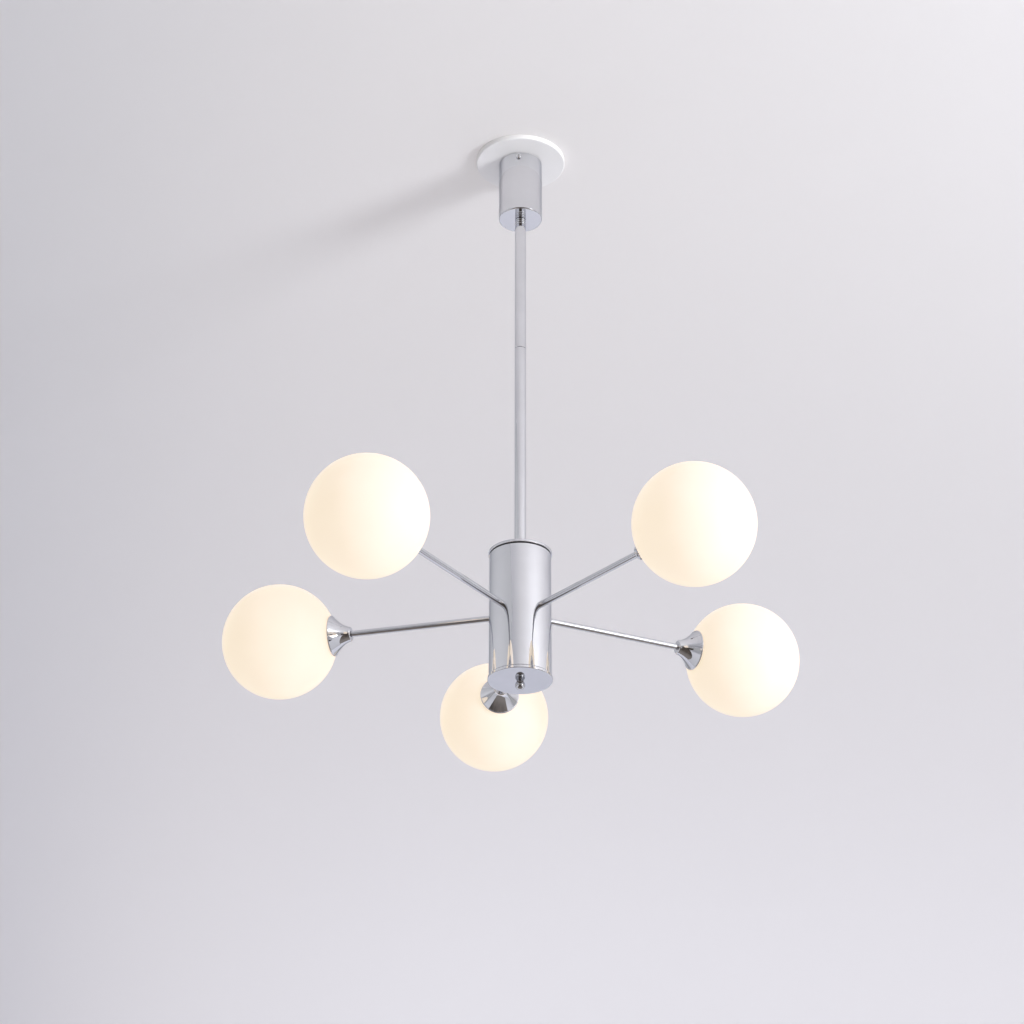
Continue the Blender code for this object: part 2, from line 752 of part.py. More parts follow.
def flare_radius(share):
    """Outer radius of the cup from its small end (0) to its rim (1), clear of the glass neck inside it."""
    growth = CUP_RIM_RADIUS - CUP_SMALL_RADIUS
    first = CUP_START + CUP_BACK_ROUND
    at_neck = (NECK_END - first) / (CUP_RIM - first)
    needed = (NECK_RADIUS + CUP_NECK_CLEARANCE + CUP_WALL - CUP_SMALL_RADIUS) / growth
    late = at_neck**CUP_FLARE_POWER
    even = (needed - late) / (at_neck - late)  # the part of the growth that is a plain cone
    return CUP_SMALL_RADIUS + growth * (even * share + (1 - even) * share**CUP_FLARE_POWER)


def make_cup(number, axis):
    """A trumpet-shaped cover, open towards the globe."""
    first = CUP_START + CUP_BACK_ROUND
    outer = []
    inner = []
    for i in range(CUP_RINGS + 1):
        share = i / CUP_RINGS
        place = first + share * (CUP_RIM - first)
        outer.append((flare_radius(share), place))
        inner.append((flare_radius(share) - CUP_WALL, max(place, CUP_START + CUP_BACK)))
    inner[0] = (CUP_SMALL_RADIUS - CUP_WALL, CUP_START + CUP_BACK)
    turned(
        f"cup_{number}",
        [
            *outer[::-1],
            (CUP_SMALL_RADIUS - CUP_BACK_ROUND, CUP_START),
            (THREAD_HOLE, CUP_START),
            (THREAD_HOLE, CUP_START + CUP_BACK),
            *inner,
        ],
        CHROME,
        axis,
        closed=True,
    )


def make_lamp_holder(number, axis):
    """A screw-base lamp holder: it screws on the arm's end and clamps the cup."""
    barrel_start = NECK_END - 2 * MM
    socket = BULB_BASE_RADIUS + FIT_GAP
    turned(
        f"lamp_holder_{number}",
        [
            (0, SOCKET_FLOOR),
            (socket, SOCKET_FLOOR),
            (socket, HOLDER_END),
            (HOLDER_TOP_RADIUS, HOLDER_END),
            (HOLDER_TOP_RADIUS, HOLDER_BARREL_END),
            (HOLDER_BARREL_RADIUS, HOLDER_BARREL_END),
            (HOLDER_BARREL_RADIUS, barrel_start),
            (HOLDER_BASE_RADIUS, barrel_start - 4 * MM),
            (HOLDER_BASE_RADIUS, HOLDER_START),
            (THREAD_HOLE, HOLDER_START),
            (THREAD_HOLE, ARM_STOP),
            (0, ARM_STOP),
        ],
        CERAMIC,
        axis,
        steps=SMALL_STEPS,
    )


def make_bulb(number, axis):
    """A tubular bulb with its base in the holder."""
    tip = BULB_SHOULDER + BULB_GLASS_LENGTH
    dome = arc((0, tip - BULB_RADIUS), BULB_RADIUS, math.pi / 2, 0, 3)
    dome[0] = (0, tip)
    turned(
        f"bulb_{number}",
        [
            *dome,
            (BULB_RADIUS, BULB_SHOULDER + 2 * MM),
            (BULB_BASE_RADIUS, BULB_SHOULDER),
            (BULB_BASE_RADIUS, BULB_START),
            (0, BULB_START),
        ],
        BULB,
        axis,
        steps=SMALL_STEPS,
    )


def make_globe(number, axis):
    """A blown opal ball with a short neck that hides inside the cup."""
    outer_stop = math.asin(NECK_RADIUS / GLOBE_RADIUS) - math.pi / 2
    inner_stop = math.asin(NECK_BORE / GLOBE_INNER) - math.pi / 2
    outer = arc((0, ARM_REACH), GLOBE_RADIUS, math.pi / 2, outer_stop, GLOBE_RINGS)
    inner = arc((0, ARM_REACH), GLOBE_INNER, inner_stop, math.pi / 2, GLOBE_RINGS)
    outer[0] = (0, ARM_REACH + GLOBE_RADIUS)
    inner[-1] = (0, ARM_REACH + GLOBE_INNER)
    turned(
        f"globe_{number}",
        [*outer, (NECK_RADIUS, NECK_END), (NECK_BORE, NECK_END), *inner],
        OPAL,
        axis,
    )
    turned(
        f"neck_ring_{number}",
        ring_profile(RING_OUTER, RING_INNER, NECK_END + NECK_RING_LENGTH, NECK_END),
        BRASS,
        axis,
        closed=True,
    )


# Wiring ---------------------------------------------------------------------------------
def make_stem_cable():
    """The cable from the terminal block down the stem, out of the slot, to the hub's board."""
    block_bottom = BRACKET_TOP - BRACKET_SHEET - FIT_GAP - BLOCK_SIZE[2]
    start = block_bottom - FIT_GAP
    leave = SLOT_MIDDLE + SLOT_LENGTH / 2 - 2 * MM
    join = leave - 24 * MM
    route = [(0, start), (0, leave)]
    for i in range(1, 8):
        t = i / 8
        smooth = t * t * (3 - 2 * t)
        route.append((LEAD_CIRCLE * smooth, leave + (join - leave) * t))
    route += [(LEAD_CIRCLE, join), (LEAD_CIRCLE, BOARD_TOP + FIT_GAP)]
    points = [(r * math.cos(CABLE_HEADING), r * math.sin(CABLE_HEADING), z) for r, z in route]
    add_object("stem_cable", tube_mesh("stem_cable", points, CABLE_RADIUS), CABLE)


def make_hub_wiring(headings):
    """A round distribution board on the spindle with one lead out through each arm."""
    board = turned(
        "hub_wiring",
        ring_profile(BOARD_OUTER_RADIUS, PIPE_RADIUS + 2 * FIT_GAP, BOARD_TOP, BOARD_TOP - BOARD_THICKNESS),
        WHITE,
        closed=True,
    )
    low = BOARD_TOP - BOARD_THICKNESS / 2
    bend = arc((LEAD_CIRCLE + LEAD_BEND, ARM_LEVEL - LEAD_BEND), LEAD_BEND, math.pi, math.pi / 2, 6)
    route = [(LEAD_CIRCLE, low), *bend, (ARM_END - 1 * MM, ARM_LEVEL)]
    for number, heading in enumerate(headings, start=1):
        points = [(r * math.cos(heading), r * math.sin(heading), z) for r, z in route]
        lead = add_object(
            f"arm_lead_{number}", tube_mesh(f"arm_lead_{number}", points, LEAD_RADIUS), CABLE, None, CUTTERS
        )
        lead.hide_render = True
        lead.display_type = "WIRE"
        join = board.modifiers.new(f"Lead_{number}", "BOOLEAN")
        join.operation = "UNION"
        join.object = lead


# Assembly ----------------------------------------------------------------------------------
def main():
    screw_axis = axis_empty("canopy_screw_axis", (0, 0, 0), (0, 0, CANOPY_SCREW_HEADING))
    make_ceiling_plate(screw_axis)
    make_bracket(screw_axis)
    make_plate_screws(screw_axis)
    make_canopy(screw_axis)
    make_canopy_screws(screw_axis)
    make_block(screw_axis)
    make_pipes()
    make_pipe_fasteners()
    make_stem_tube("stem_upper", STEM_TOP, STEM_UPPER_LENGTH)
    make_stem_tube("stem_lower", STEM_LOWER_TOP, STEM_LOWER_LENGTH)
    body = make_hub()
    make_finial()
    headings = [
        FIRST_HEADING + math.tau * i / ARM_COUNT + HEADING_SET[i % len(HEADING_SET)] for i in range(ARM_COUNT)
    ]
    for number, heading in enumerate(headings, start=1):
        # Z of this empty points outwards along the arm, and X points down.
        axis = axis_empty(f"arm_axis_{number}", (0, 0, ARM_LEVEL), (0, math.pi / 2, heading))
        cut(body, make_arm(number, axis))
        make_cup(number, axis)
        make_lamp_holder(number, axis)
        make_bulb(number, axis)
        make_globe(number, axis)
    make_stem_cable()
    make_hub_wiring(headings)


main()
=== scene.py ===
import json
import math

import bmesh
import bpy
from mathutils import Matrix, Vector


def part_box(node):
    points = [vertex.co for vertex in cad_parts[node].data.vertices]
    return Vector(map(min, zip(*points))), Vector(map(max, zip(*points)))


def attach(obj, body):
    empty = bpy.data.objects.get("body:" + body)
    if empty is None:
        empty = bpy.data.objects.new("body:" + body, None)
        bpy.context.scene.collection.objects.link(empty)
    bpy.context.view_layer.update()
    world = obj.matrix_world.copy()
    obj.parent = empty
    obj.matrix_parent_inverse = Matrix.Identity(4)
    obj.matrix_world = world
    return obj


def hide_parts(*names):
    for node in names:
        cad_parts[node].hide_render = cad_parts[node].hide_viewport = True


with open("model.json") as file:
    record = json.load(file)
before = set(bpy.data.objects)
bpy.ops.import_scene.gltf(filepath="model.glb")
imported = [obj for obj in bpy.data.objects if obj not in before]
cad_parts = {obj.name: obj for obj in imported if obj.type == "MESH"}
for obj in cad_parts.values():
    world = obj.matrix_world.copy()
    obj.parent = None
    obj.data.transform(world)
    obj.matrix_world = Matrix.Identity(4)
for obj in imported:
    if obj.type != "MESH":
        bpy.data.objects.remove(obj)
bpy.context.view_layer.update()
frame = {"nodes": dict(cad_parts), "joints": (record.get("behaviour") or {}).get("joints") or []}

mm = 0.001
armNumbers = range(1, 6)
touchGap = 0.3 * mm  # between pieces that touch
fineEdge = 0.2 * mm  # edges that are only just broken
softEdge = 0.3 * mm
past = 1 * mm  # how far a cutter stands past what it cuts


# camera first: it looks up at the lamp from a little in front of it
cameraSet = {
    "place": (-0.0005, -2.9078, -2.1307),
    "turn": (118.385, -0.126, 0.133),  # degrees
    "lens": 89.56,
    "sensor": 36,
    "clipEnd": 60,
}


def makeCamera():
    made = bpy.data.objects.new("camera", bpy.data.cameras.new("camera"))
    made.location = cameraSet["place"]
    made.rotation_euler = [math.radians(angle) for angle in cameraSet["turn"]]
    made.data.lens = cameraSet["lens"]
    made.data.sensor_width = cameraSet["sensor"]
    made.data.clip_end = cameraSet["clipEnd"]
    bpy.context.scene.collection.objects.link(made)
    bpy.context.scene.camera = made


makeCamera()
print("camera placed")


# places and sizes, read from the frame
jointAxes = {joint["name"]: Vector(joint["axis"]).normalized() for joint in frame["joints"]}


def boxOf(node):
    low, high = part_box(node)
    return Vector(low), Vector(high)


def topOf(node):
    return boxOf(node)[1].z


def bottomOf(node):
    return boxOf(node)[0].z


def halfWidth(node):
    low, high = boxOf(node)
    return max(high.x - low.x, high.y - low.y) / 2


def alongArm(node, number):  # nearest reach, furthest reach and largest radius round the arm
    inverse = armFrames[number].inverted()
    local = [inverse @ vertex.co for vertex in frame["nodes"][node].data.vertices]
    reach = [point.z for point in local]
    return min(reach), max(reach), max(math.hypot(point.x, point.y) for point in local)


armLevel = (topOf("arm_tube_1") + bottomOf("arm_tube_1")) / 2
armFrames = {}  # in each, Z runs outwards along the arm and X points down
for number in armNumbers:
    outwards = jointAxes[f"globe_{number}_pull"]
    down = Vector((0, 0, -1))
    turn = Matrix((down, outwards.cross(down), outwards)).transposed().to_4x4()
    armFrames[number] = Matrix.Translation((0, 0, armLevel)) @ turn

screwMiddle = sum(boxOf("canopy_screw_1"), Vector()) / 2
screwHeading = math.atan2(screwMiddle.y, screwMiddle.x)  # the bracket lies along this
print("frame read, arms at", round(armLevel, 4))


# mesh work
def roundedCorners(points, closed, pieces=5):  # a third number at a point rounds its corner by that much
    made = []
    for place, point in enumerate(points):
        atEnd = not closed and place in (0, len(points) - 1)
        if len(point) < 3 or point[2] == 0 or atEnd:
            made.append(Vector(point[:2]))
            continue
        corner = Vector(point[:2])
        before = (Vector(points[place - 1][:2]) - corner).normalized()
        after = (Vector(points[(place + 1) % len(points)][:2]) - corner).normalized()
        between = (before + after).normalized()
        centre = corner + between * (point[2] / before.dot(between))
        first = corner + before * point[2] - centre
        last = corner + after * point[2] - centre
        sweep = first.angle(last)
        for step in range(pieces + 1):
            share = step / pieces
            mixed = first * math.sin((1 - share) * sweep) + last * math.sin(share * sweep)
            made.append(centre + mixed / math.sin(sweep))
    return made


def threadRun(radius, depth, start, end, pitch):  # crests and roots along the profile
    turns = max(1, round(abs(end - start) / pitch))
    step = (end - start) / turns
    made = []
    for turn in range(turns):
        made += [(radius - depth, start + step * turn), (radius, start + step * (turn + 0.5))]
    return made + [(radius - depth, end)]


def roundThread(radius, depth, start, end, pitch, pieces=6):  # the soft thread of a bulb base
    count = max(2, round(abs(end - start) / pitch * pieces))
    return [
        (
            radius - depth * (0.5 + 0.5 * math.cos(math.tau * abs(end - start) / pitch * i / count)),
            start + (end - start) * i / count,
        )
        for i in range(count + 1)
    ]


def meshObject(name, shape, sharpAngle=32):
    bmesh.ops.recalc_face_normals(shape, faces=shape.faces)
    mesh = bpy.data.meshes.new(name)
    shape.to_mesh(mesh)
    shape.free()
    mesh.shade_smooth()
    mesh.set_sharp_from_angle(angle=math.radians(sharpAngle))
    made = bpy.data.objects.new(name, mesh)
    bpy.context.scene.collection.objects.link(made)
    return made


def addTurned(shape, points, closed, steps, pieces=5):
    profile = roundedCorners(points, closed, pieces)
    rings = []
    for radius, height in profile:
        if radius < 1e-7:  # on the axis
            rings.append([shape.verts.new((0, 0, height))])
            continue
        turns = [math.tau * i / steps for i in range(steps)]
        corners = [(radius * math.cos(turn), radius * math.sin(turn), height) for turn in turns]
        rings.append([shape.verts.new(corner) for corner in corners])
    pairs = list(zip(rings, rings[1:])) + ([(rings[-1], rings[0])] if closed else [])
    for first, second in pairs:
        if len(first) == len(second) == 1:
            continue
        for i in range(steps):
            j = (i + 1) % steps
            if len(first) == 1:
                shape.faces.new((first[0], second[j], second[i]))
            elif len(second) == 1:
                shape.faces.new((first[i], first[j], second[0]))
            else:
                shape.faces.new((first[i], first[j], second[j], second[i]))


def turned(name, points, closed=False, steps=96, pieces=5, sharpAngle=32):
    shape = bmesh.new()
    addTurned(shape, points, closed, steps, pieces)
    return meshObject(name, shape, sharpAngle)


def drum(radius, length, steps=40):  # a plain round cutter
    shape = bmesh.new()
    bmesh.ops.create_cone(shape, cap_ends=True, segments=steps, radius1=radius, radius2=radius, depth=length)
    return meshObject("cutter", shape)


def hexDrum(acrossFlats, length):
    return drum(acrossFlats / 2 / math.cos(math.pi / 6), length, 6)


def carve(piece, cutters, operation="DIFFERENCE"):
    for cutter in cutters:
        change = piece.modifiers.new("carve", "BOOLEAN")
        change.operation = operation
        change.solver = "EXACT"
        change.object = cutter
    settle(piece)
    for cutter in cutters:
        bpy.data.objects.remove(cutter, do_unlink=True)
    return piece


def bake(piece):  # makes the modifiers' result the mesh itself
    bpy.context.view_layer.update()
    graph = bpy.context.evaluated_depsgraph_get()
    mesh = bpy.data.meshes.new_from_object(piece.evaluated_get(graph))
    piece.modifiers.clear()
    piece.data = mesh


def settle(piece, sharpAngle=32):
    bake(piece)
    piece.data.shade_smooth()
    piece.data.set_sharp_from_angle(angle=math.radians(sharpAngle))


def roundWallNormals(piece, radii, tolerance=0.02 * mm):  # keeps a mirror wall true round its cut holes
    mesh = piece.data
    normals = [corner.vector.copy() for corner in mesh.corner_normals]
    for face in mesh.polygons:
        if abs(face.normal.z) > 0.02:
            continue
        for loop in face.loop_indices:
            place = mesh.vertices[mesh.loops[loop].vertex_index].co
            outwards = Vector((place.x, place.y, 0))
            facing = face.normal.dot(outwards.normalized())
            if abs(facing) > 0.9 and any(abs(outwards.length - radius) < tolerance for radius in radii):
                normals[loop] = outwards.normalized() * (1 if facing > 0 else -1)
    mesh.normals_split_custom_set(normals)


def bevelled(piece, width, segments=2, angle=30):
    edge = piece.modifiers.new("edges", "BEVEL")
    edge.width = width
    edge.segments = segments
    edge.limit_method = "ANGLE"
    edge.angle_limit = math.radians(angle)
    edge.harden_normals = False
    settle(piece)
    return piece


def tubeAlong(name, points, radius, sides=16, smooth=6):  # a wire on one smooth curve through the points
    curve = bpy.data.curves.new(name, "CURVE")
    curve.dimensions = "3D"
    curve.bevel_depth = radius
    curve.bevel_resolution = max(1, sides // 4 - 1)
    curve.resolution_u = smooth
    curve.use_fill_caps = True
    spline = curve.splines.new("BEZIER")
    spline.bezier_points.add(len(points) - 1)
    for handle, place in zip(spline.bezier_points, points):
        handle.co = place
        handle.handle_left_type = handle.handle_right_type = "AUTO"
    path = bpy.data.objects.new(name + "_path", curve)
    bpy.context.scene.collection.objects.link(path)
    bpy.context.view_layer.update()
    graph = bpy.context.evaluated_depsgraph_get()
    shape = bmesh.new()
    shape.from_mesh(bpy.data.meshes.new_from_object(path.evaluated_get(graph)))
    bmesh.ops.remove_doubles(shape, verts=shape.verts, dist=0.01 * mm)
    bpy.data.objects.remove(path, do_unlink=True)
    return meshObject(name, shape)


def joined(name, pieces):  # several closed solids as one piece
    shape = bmesh.new()
    for piece in pieces:
        bpy.context.view_layer.update()
        part = piece.data.copy()
        part.transform(piece.matrix_world)
        shape.from_mesh(part)
        bpy.data.objects.remove(piece, do_unlink=True)
    return meshObject(name, shape)


def fit(piece, body, material, slot, *nodes, place=None):
    if place is not None:
        piece.data.transform(place.to_3x3().to_4x4())
        piece.matrix_world = Matrix.Translation(place.translation)
    piece.data.materials.clear()
    piece.data.materials.append(material)
    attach(piece, body)
    if nodes:
        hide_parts(*nodes)
    return piece


# effects shared by several materials, each a node group made once
def newGroup(name, inputs, outputs):
    group = bpy.data.node_groups.new(name, "ShaderNodeTree")
    for label, kind, value in inputs:
        made = group.interface.new_socket(name=label, in_out="INPUT", socket_type=kind)
        if value is not None:
            made.default_value = value
    for label, kind in outputs:
        group.interface.new_socket(name=label, in_out="OUTPUT", socket_type=kind)
    return group, group.nodes.new("NodeGroupInput"), group.nodes.new("NodeGroupOutput")


def addNode(tree, kind, links=(), **settings):  # links are (input, output socket) or (input, value)
    made = tree.nodes.new(kind)
    for key, value in settings.items():
        setattr(made, key, value)
    for name, source in dict(links).items():
        if isinstance(source, bpy.types.NodeSocket):
            tree.links.new(source, made.inputs[name])
        else:
            made.inputs[name].default_value = source
    return made


def mathNode(tree, operation, first, second=None, third=None):
    made = tree.nodes.new("ShaderNodeMath")
    made.operation = operation
    for place, source in enumerate((first, second, third)):
        if isinstance(source, bpy.types.NodeSocket):
            tree.links.new(source, made.inputs[place])
        elif source is not None:
            made.inputs[place].default_value = source
    return made.outputs[0]


def rangeNode(tree, value, low, high, newLow, newHigh):
    made = addNode(
        tree,
        "ShaderNodeMapRange",
        {"Value": value, "From Min": low, "From Max": high, "To Min": newLow, "To Max": newHigh},
        interpolation_type="SMOOTHSTEP",
    )
    return made.outputs["Result"]


def fade(tree, value, low, high):  # from 0 to 1 between two levels
    return rangeNode(tree, value, low, high, 0, 1)


def mixColours(tree, factor, first, second):
    made = tree.nodes.new("ShaderNodeMix")
    made.data_type = "RGBA"
    for place, source in ((0, factor), (6, first), (7, second)):
        if isinstance(source, bpy.types.NodeSocket):
            tree.links.new(source, made.inputs[place])
        else:
            made.inputs[place].default_value = source if place == 0 else (*source, 1)
    return made.outputs[2]


def objectPlace(tree):
    return tree.nodes.new("ShaderNodeTexCoord").outputs["Object"]


def noiseNode(tree, place, scale, detail=3.0, rough=0.5, stretch=(1, 1, 1)):
    mapped = addNode(tree, "ShaderNodeMapping", {"Vector": place, "Scale": stretch})
    made = addNode(
        tree,
        "ShaderNodeTexNoise",
        {"Vector": mapped.outputs[0], "Scale": scale, "Detail": detail, "Roughness": rough},
    )
    return made.outputs["Fac"]


def makeHandling():  # finger marks and cloth wiping, as a mask from 0 to 1
    group, given, out = newGroup(
        "handling",
        [("Size", "NodeSocketFloat", 30.0), ("Amount", "NodeSocketFloat", 0.5)],
        [("Mask", "NodeSocketFloat")],
    )
    place = objectPlace(group)
    broad = noiseNode(group, place, given.outputs["Size"], 4, 0.6)
    fine = noiseNode(group, place, mathNode(group, "MULTIPLY", given.outputs["Size"], 7.0), 3, 0.6)
    marks = mathNode(group, "MULTIPLY", fade(group, broad, 0.48, 0.72), fine)
    group.links.new(mathNode(group, "MULTIPLY", marks, given.outputs["Amount"]), out.inputs["Mask"])
    return group


def makeFineLines():  # hair-fine marks along one way, as a height from 0 to 1
    group, given, out = newGroup(
        "fineLines",
        [("Density", "NodeSocketFloat", 900.0), ("Stretch", "NodeSocketVector", (1.0, 1.0, 0.04))],
        [("Height", "NodeSocketFloat")],
    )
    place = objectPlace(group)
    stretch = given.outputs["Stretch"]
    scaled = addNode(group, "ShaderNodeVectorMath", {0: place, 1: stretch}, operation="MULTIPLY")
    lines = addNode(
        group,
        "ShaderNodeTexNoise",
        {"Vector": scaled.outputs[0], "Scale": given.outputs["Density"], "Detail": 2.0, "Roughness": 0.5},
    )
    group.links.new(lines.outputs["Fac"], out.inputs["Height"])
    return group


def makeEdgeWear():  # outer edges, broken up a little, as a mask from 0 to 1
    sockets = [("Amount", "NodeSocketFloat", 0.5)]
    group, given, out = newGroup("edgeWear", sockets, [("Mask", "NodeSocketFloat")])
    place = objectPlace(group)
    point = group.nodes.new("ShaderNodeNewGeometry").outputs["Pointiness"]
    edge = fade(group, point, 0.52, 0.60)
    broken = rangeNode(group, noiseNode(group, place, 160, 3, 0.6), 0.35, 0.65, 0.3, 1)
    worn = mathNode(group, "MULTIPLY", mathNode(group, "MULTIPLY", edge, broken), given.outputs["Amount"])
    group.links.new(worn, out.inputs["Mask"])
    return group


def makeDust():  # fine dust that lies on upward faces, as a mask from 0 to 1
    sockets = [("Amount", "NodeSocketFloat", 0.3)]
    group, given, out = newGroup("restingDust", sockets, [("Mask", "NodeSocketFloat")])
    place = objectPlace(group)
    normal = group.nodes.new("ShaderNodeNewGeometry").outputs["Normal"]
    parts = addNode(group, "ShaderNodeSeparateXYZ", {0: normal})
    upward = fade(group, parts.outputs["Z"], 0.55, 1.0)
    specks = rangeNode(group, noiseNode(group, place, 420, 4, 0.7), 0.4, 0.75, 0.35, 1)
    lying = mathNode(group, "MULTIPLY", mathNode(group, "MULTIPLY", upward, specks), given.outputs["Amount"])
    group.links.new(lying, out.inputs["Mask"])
    return group


effects = {
    "handling": makeHandling(),
    "fineLines": makeFineLines(),
    "edgeWear": makeEdgeWear(),
    "restingDust": makeDust(),
}
print("effect groups made")


def effect(tree, name, **values):
    made = tree.nodes.new("ShaderNodeGroup")
    made.node_tree = effects[name]
    for label, value in values.items():
        made.inputs[label].default_value = value
    return made.outputs[0]


# materials
def newMaterial(name, plain):
    made = bpy.data.materials.new(name)
    made.use_nodes = True
    tree = made.node_tree
    shader = tree.nodes["Principled BSDF"]
    for label, value in plain.items():
        shader.inputs[label].default_value = value
    return made, tree, shader


def bumpInto(tree, shader, height, distance):
    made = addNode(tree, "ShaderNodeBump", {"Height": height, "Distance": distance, "Strength": 1.0})
    tree.links.new(made.outputs["Normal"], shader.inputs["Normal"])


def metalFinish(name, look):  # a clean or aged metal, told by its colours, roughness and marks
    made, tree, shader = newMaterial(name, {"Metallic": 1.0, "Specular Tint": (*look["edgeTint"], 1)})
    marks = effect(tree, "handling", Size=look["markSize"], Amount=look["marks"])
    worn = effect(tree, "edgeWear", Amount=look["wear"])
    dust = effect(tree, "restingDust", Amount=look["dust"])
    lines = effect(tree, "fineLines", Density=look["lineDensity"], Stretch=look["lineStretch"])
    cloud = fade(tree, noiseNode(tree, objectPlace(tree), look["cloudSize"], 3, 0.55), 0.35, 0.65)
    colour = mixColours(tree, cloud, look["colour"], look["otherColour"])
    colour = mixColours(tree, worn, colour, look["wornColour"])
    colour = mixColours(tree, dust, colour, look["dustColour"])
    tree.links.new(colour, shader.inputs["Base Color"])
    rough = mathNode(tree, "MULTIPLY_ADD", marks, look["markRoughness"], look["roughness"])
    rough = mathNode(tree, "MULTIPLY_ADD", dust, look["dustRoughness"], rough)
    rough = mathNode(tree, "MULTIPLY_ADD", lines, look["lineRoughness"], rough)
    tree.links.new(rough, shader.inputs["Roughness"])
    ripple = noiseNode(tree, objectPlace(tree), look["rippleSize"], 2, 0.5)
    lineHeight = mathNode(tree, "MULTIPLY", lines, look["lines"])
    height = mathNode(tree, "MULTIPLY_ADD", ripple, look["ripple"], lineHeight)
    bumpInto(tree, shader, height, look["bump"])
    return made


chromeLook = {
    "colour": (0.775, 0.78, 0.805),
    "otherColour": (0.745, 0.75, 0.775),
    "wornColour": (0.80, 0.795, 0.79),
    "edgeTint": (0.60, 0.615, 0.65),  # mirrors darken where they turn away
    "roughness": 0.01,
    "marks": 0.6,
    "markSize": 22.0,
    "markRoughness": 0.10,
    "wear": 0.25,
    "dust": 0.18,
    "dustColour": (0.55, 0.54, 0.52),
    "dustRoughness": 0.5,
    "lineDensity": 2600.0,
    "lineStretch": (1.0, 1.0, 0.03),
    "lineRoughness": 0.02,
    "lines": 0.15,
    "cloudSize": 18.0,
    "rippleSize": 55.0,
    "ripple": 1.0,
    "bump": 0.0015 * mm,
}
steelLook = {
    "colour": (0.58, 0.58, 0.57),
    "otherColour": (0.50, 0.51, 0.53),
    "wornColour": (0.70, 0.69, 0.67),
    "edgeTint": (0.85, 0.85, 0.85),
    "roughness": 0.28,
    "marks": 0.7,
    "markSize": 60.0,
    "markRoughness": 0.22,
    "wear": 0.6,
    "dust": 0.2,
    "dustColour": (0.55, 0.54, 0.52),
    "dustRoughness": 0.5,
    "lineDensity": 1500.0,
    "lineStretch": (1.0, 1.0, 0.10),
    "lineRoughness": 0.10,
    "lines": 0.6,
    "cloudSize": 45.0,
    "rippleSize": 120.0,
    "ripple": 0.6,
    "bump": 0.02 * mm,
}
brassLook = {
    **steelLook,
    "colour": (0.74, 0.55, 0.26),
    "otherColour": (0.62, 0.43, 0.18),
    "wornColour": (0.86, 0.70, 0.42),
    "roughness": 0.20,
}
# a satin copy of the chrome for the canopy screws: the roughness is the satin finish, and the paler colour is
# a painted highlight that makes the heads read bright
satinHighlightLook = {
    **chromeLook,
    "colour": (0.95, 0.95, 0.96),
    "otherColour": (0.90, 0.90, 0.92),
    "roughness": 0.20,
}
chromeFinish = metalFinish("chromeFinish", chromeLook)
satinHighlightFinish = metalFinish("satinChromeHighlightFinish", satinHighlightLook)
steelFinish = metalFinish("zincSteelFinish", steelLook)
brassFinish = metalFinish("brassFinish", brassLook)


def coatedFinish(name, look):  # paint, moulded plastic, ceramic and wire covering
    made, tree, shader = newMaterial(name, look["plain"])
    marks = effect(tree, "handling", Size=look["markSize"], Amount=look["marks"])
    worn = effect(tree, "edgeWear", Amount=look["wear"])
    dust = effect(tree, "restingDust", Amount=look["dust"])
    cloud = fade(tree, noiseNode(tree, objectPlace(tree), look["cloudSize"], 4, 0.6), 0.3, 0.7)
    colour = mixColours(tree, cloud, look["colour"], look["otherColour"])
    colour = mixColours(tree, worn, colour, look["wornColour"])
    colour = mixColours(tree, dust, colour, look["dustColour"])
    tree.links.new(colour, shader.inputs["Base Color"])
    rough = mathNode(tree, "MULTIPLY_ADD", marks, look["markRoughness"], look["roughness"])
    tree.links.new(rough, shader.inputs["Roughness"])
    grain = noiseNode(tree, objectPlace(tree), look["grainSize"], 4, 0.6)
    bumpInto(tree, shader, grain, look["bump"])
    return made


whitePaintLook = {
    "plain": {"Specular IOR Level": 0.5},
    "colour": (0.90, 0.885, 0.875),
    "otherColour": (0.88, 0.865, 0.855),
    "wornColour": (0.93, 0.92, 0.91),
    "roughness": 0.38,
    "marks": 0.5,
    "markSize": 35.0,
    "markRoughness": 0.15,
    "wear": 0.2,
    "dust": 0.2,
    "dustColour": (0.60, 0.58, 0.55),
    "cloudSize": 25.0,
    "grainSize": 700.0,
    "bump": 0.02 * mm,
}
plasticLook = {
    **whitePaintLook,
    "colour": (0.80, 0.80, 0.78),
    "otherColour": (0.74, 0.74, 0.72),
    "roughness": 0.45,
    "grainSize": 1500.0,
}
ceramicLook = {
    **whitePaintLook,
    "colour": (0.82, 0.80, 0.74),
    "otherColour": (0.74, 0.71, 0.64),
    "wornColour": (0.86, 0.85, 0.81),
    "roughness": 0.55,
    "cloudSize": 160.0,
    "grainSize": 1100.0,
    "bump": 0.06 * mm,
}
cableLook = {
    **plasticLook,
    "colour": (0.74, 0.74, 0.73),
    "otherColour": (0.66, 0.66, 0.66),
    "roughness": 0.5,
    "bump": 0.03 * mm,
}
# painted shade: a near-black finish for the ring that fills the gap under the top cap's lip
gapShadeBlackLook = {
    **plasticLook,
    "colour": (0.018, 0.018, 0.020),
    "otherColour": (0.030, 0.030, 0.032),
    "wornColour": (0.05, 0.05, 0.05),
    "roughness": 0.6,
    "dust": 0.1,
}
gapShadeBlack = coatedFinish("gapShadeBlack", gapShadeBlackLook)
whitePaint = coatedFinish("whitePaint", whitePaintLook)
whitePlastic = coatedFinish("whitePlastic", plasticLook)
ceramicFinish = coatedFinish("ceramicFinish", ceramicLook)
cableFinish = coatedFinish("cableFinish", cableLook)

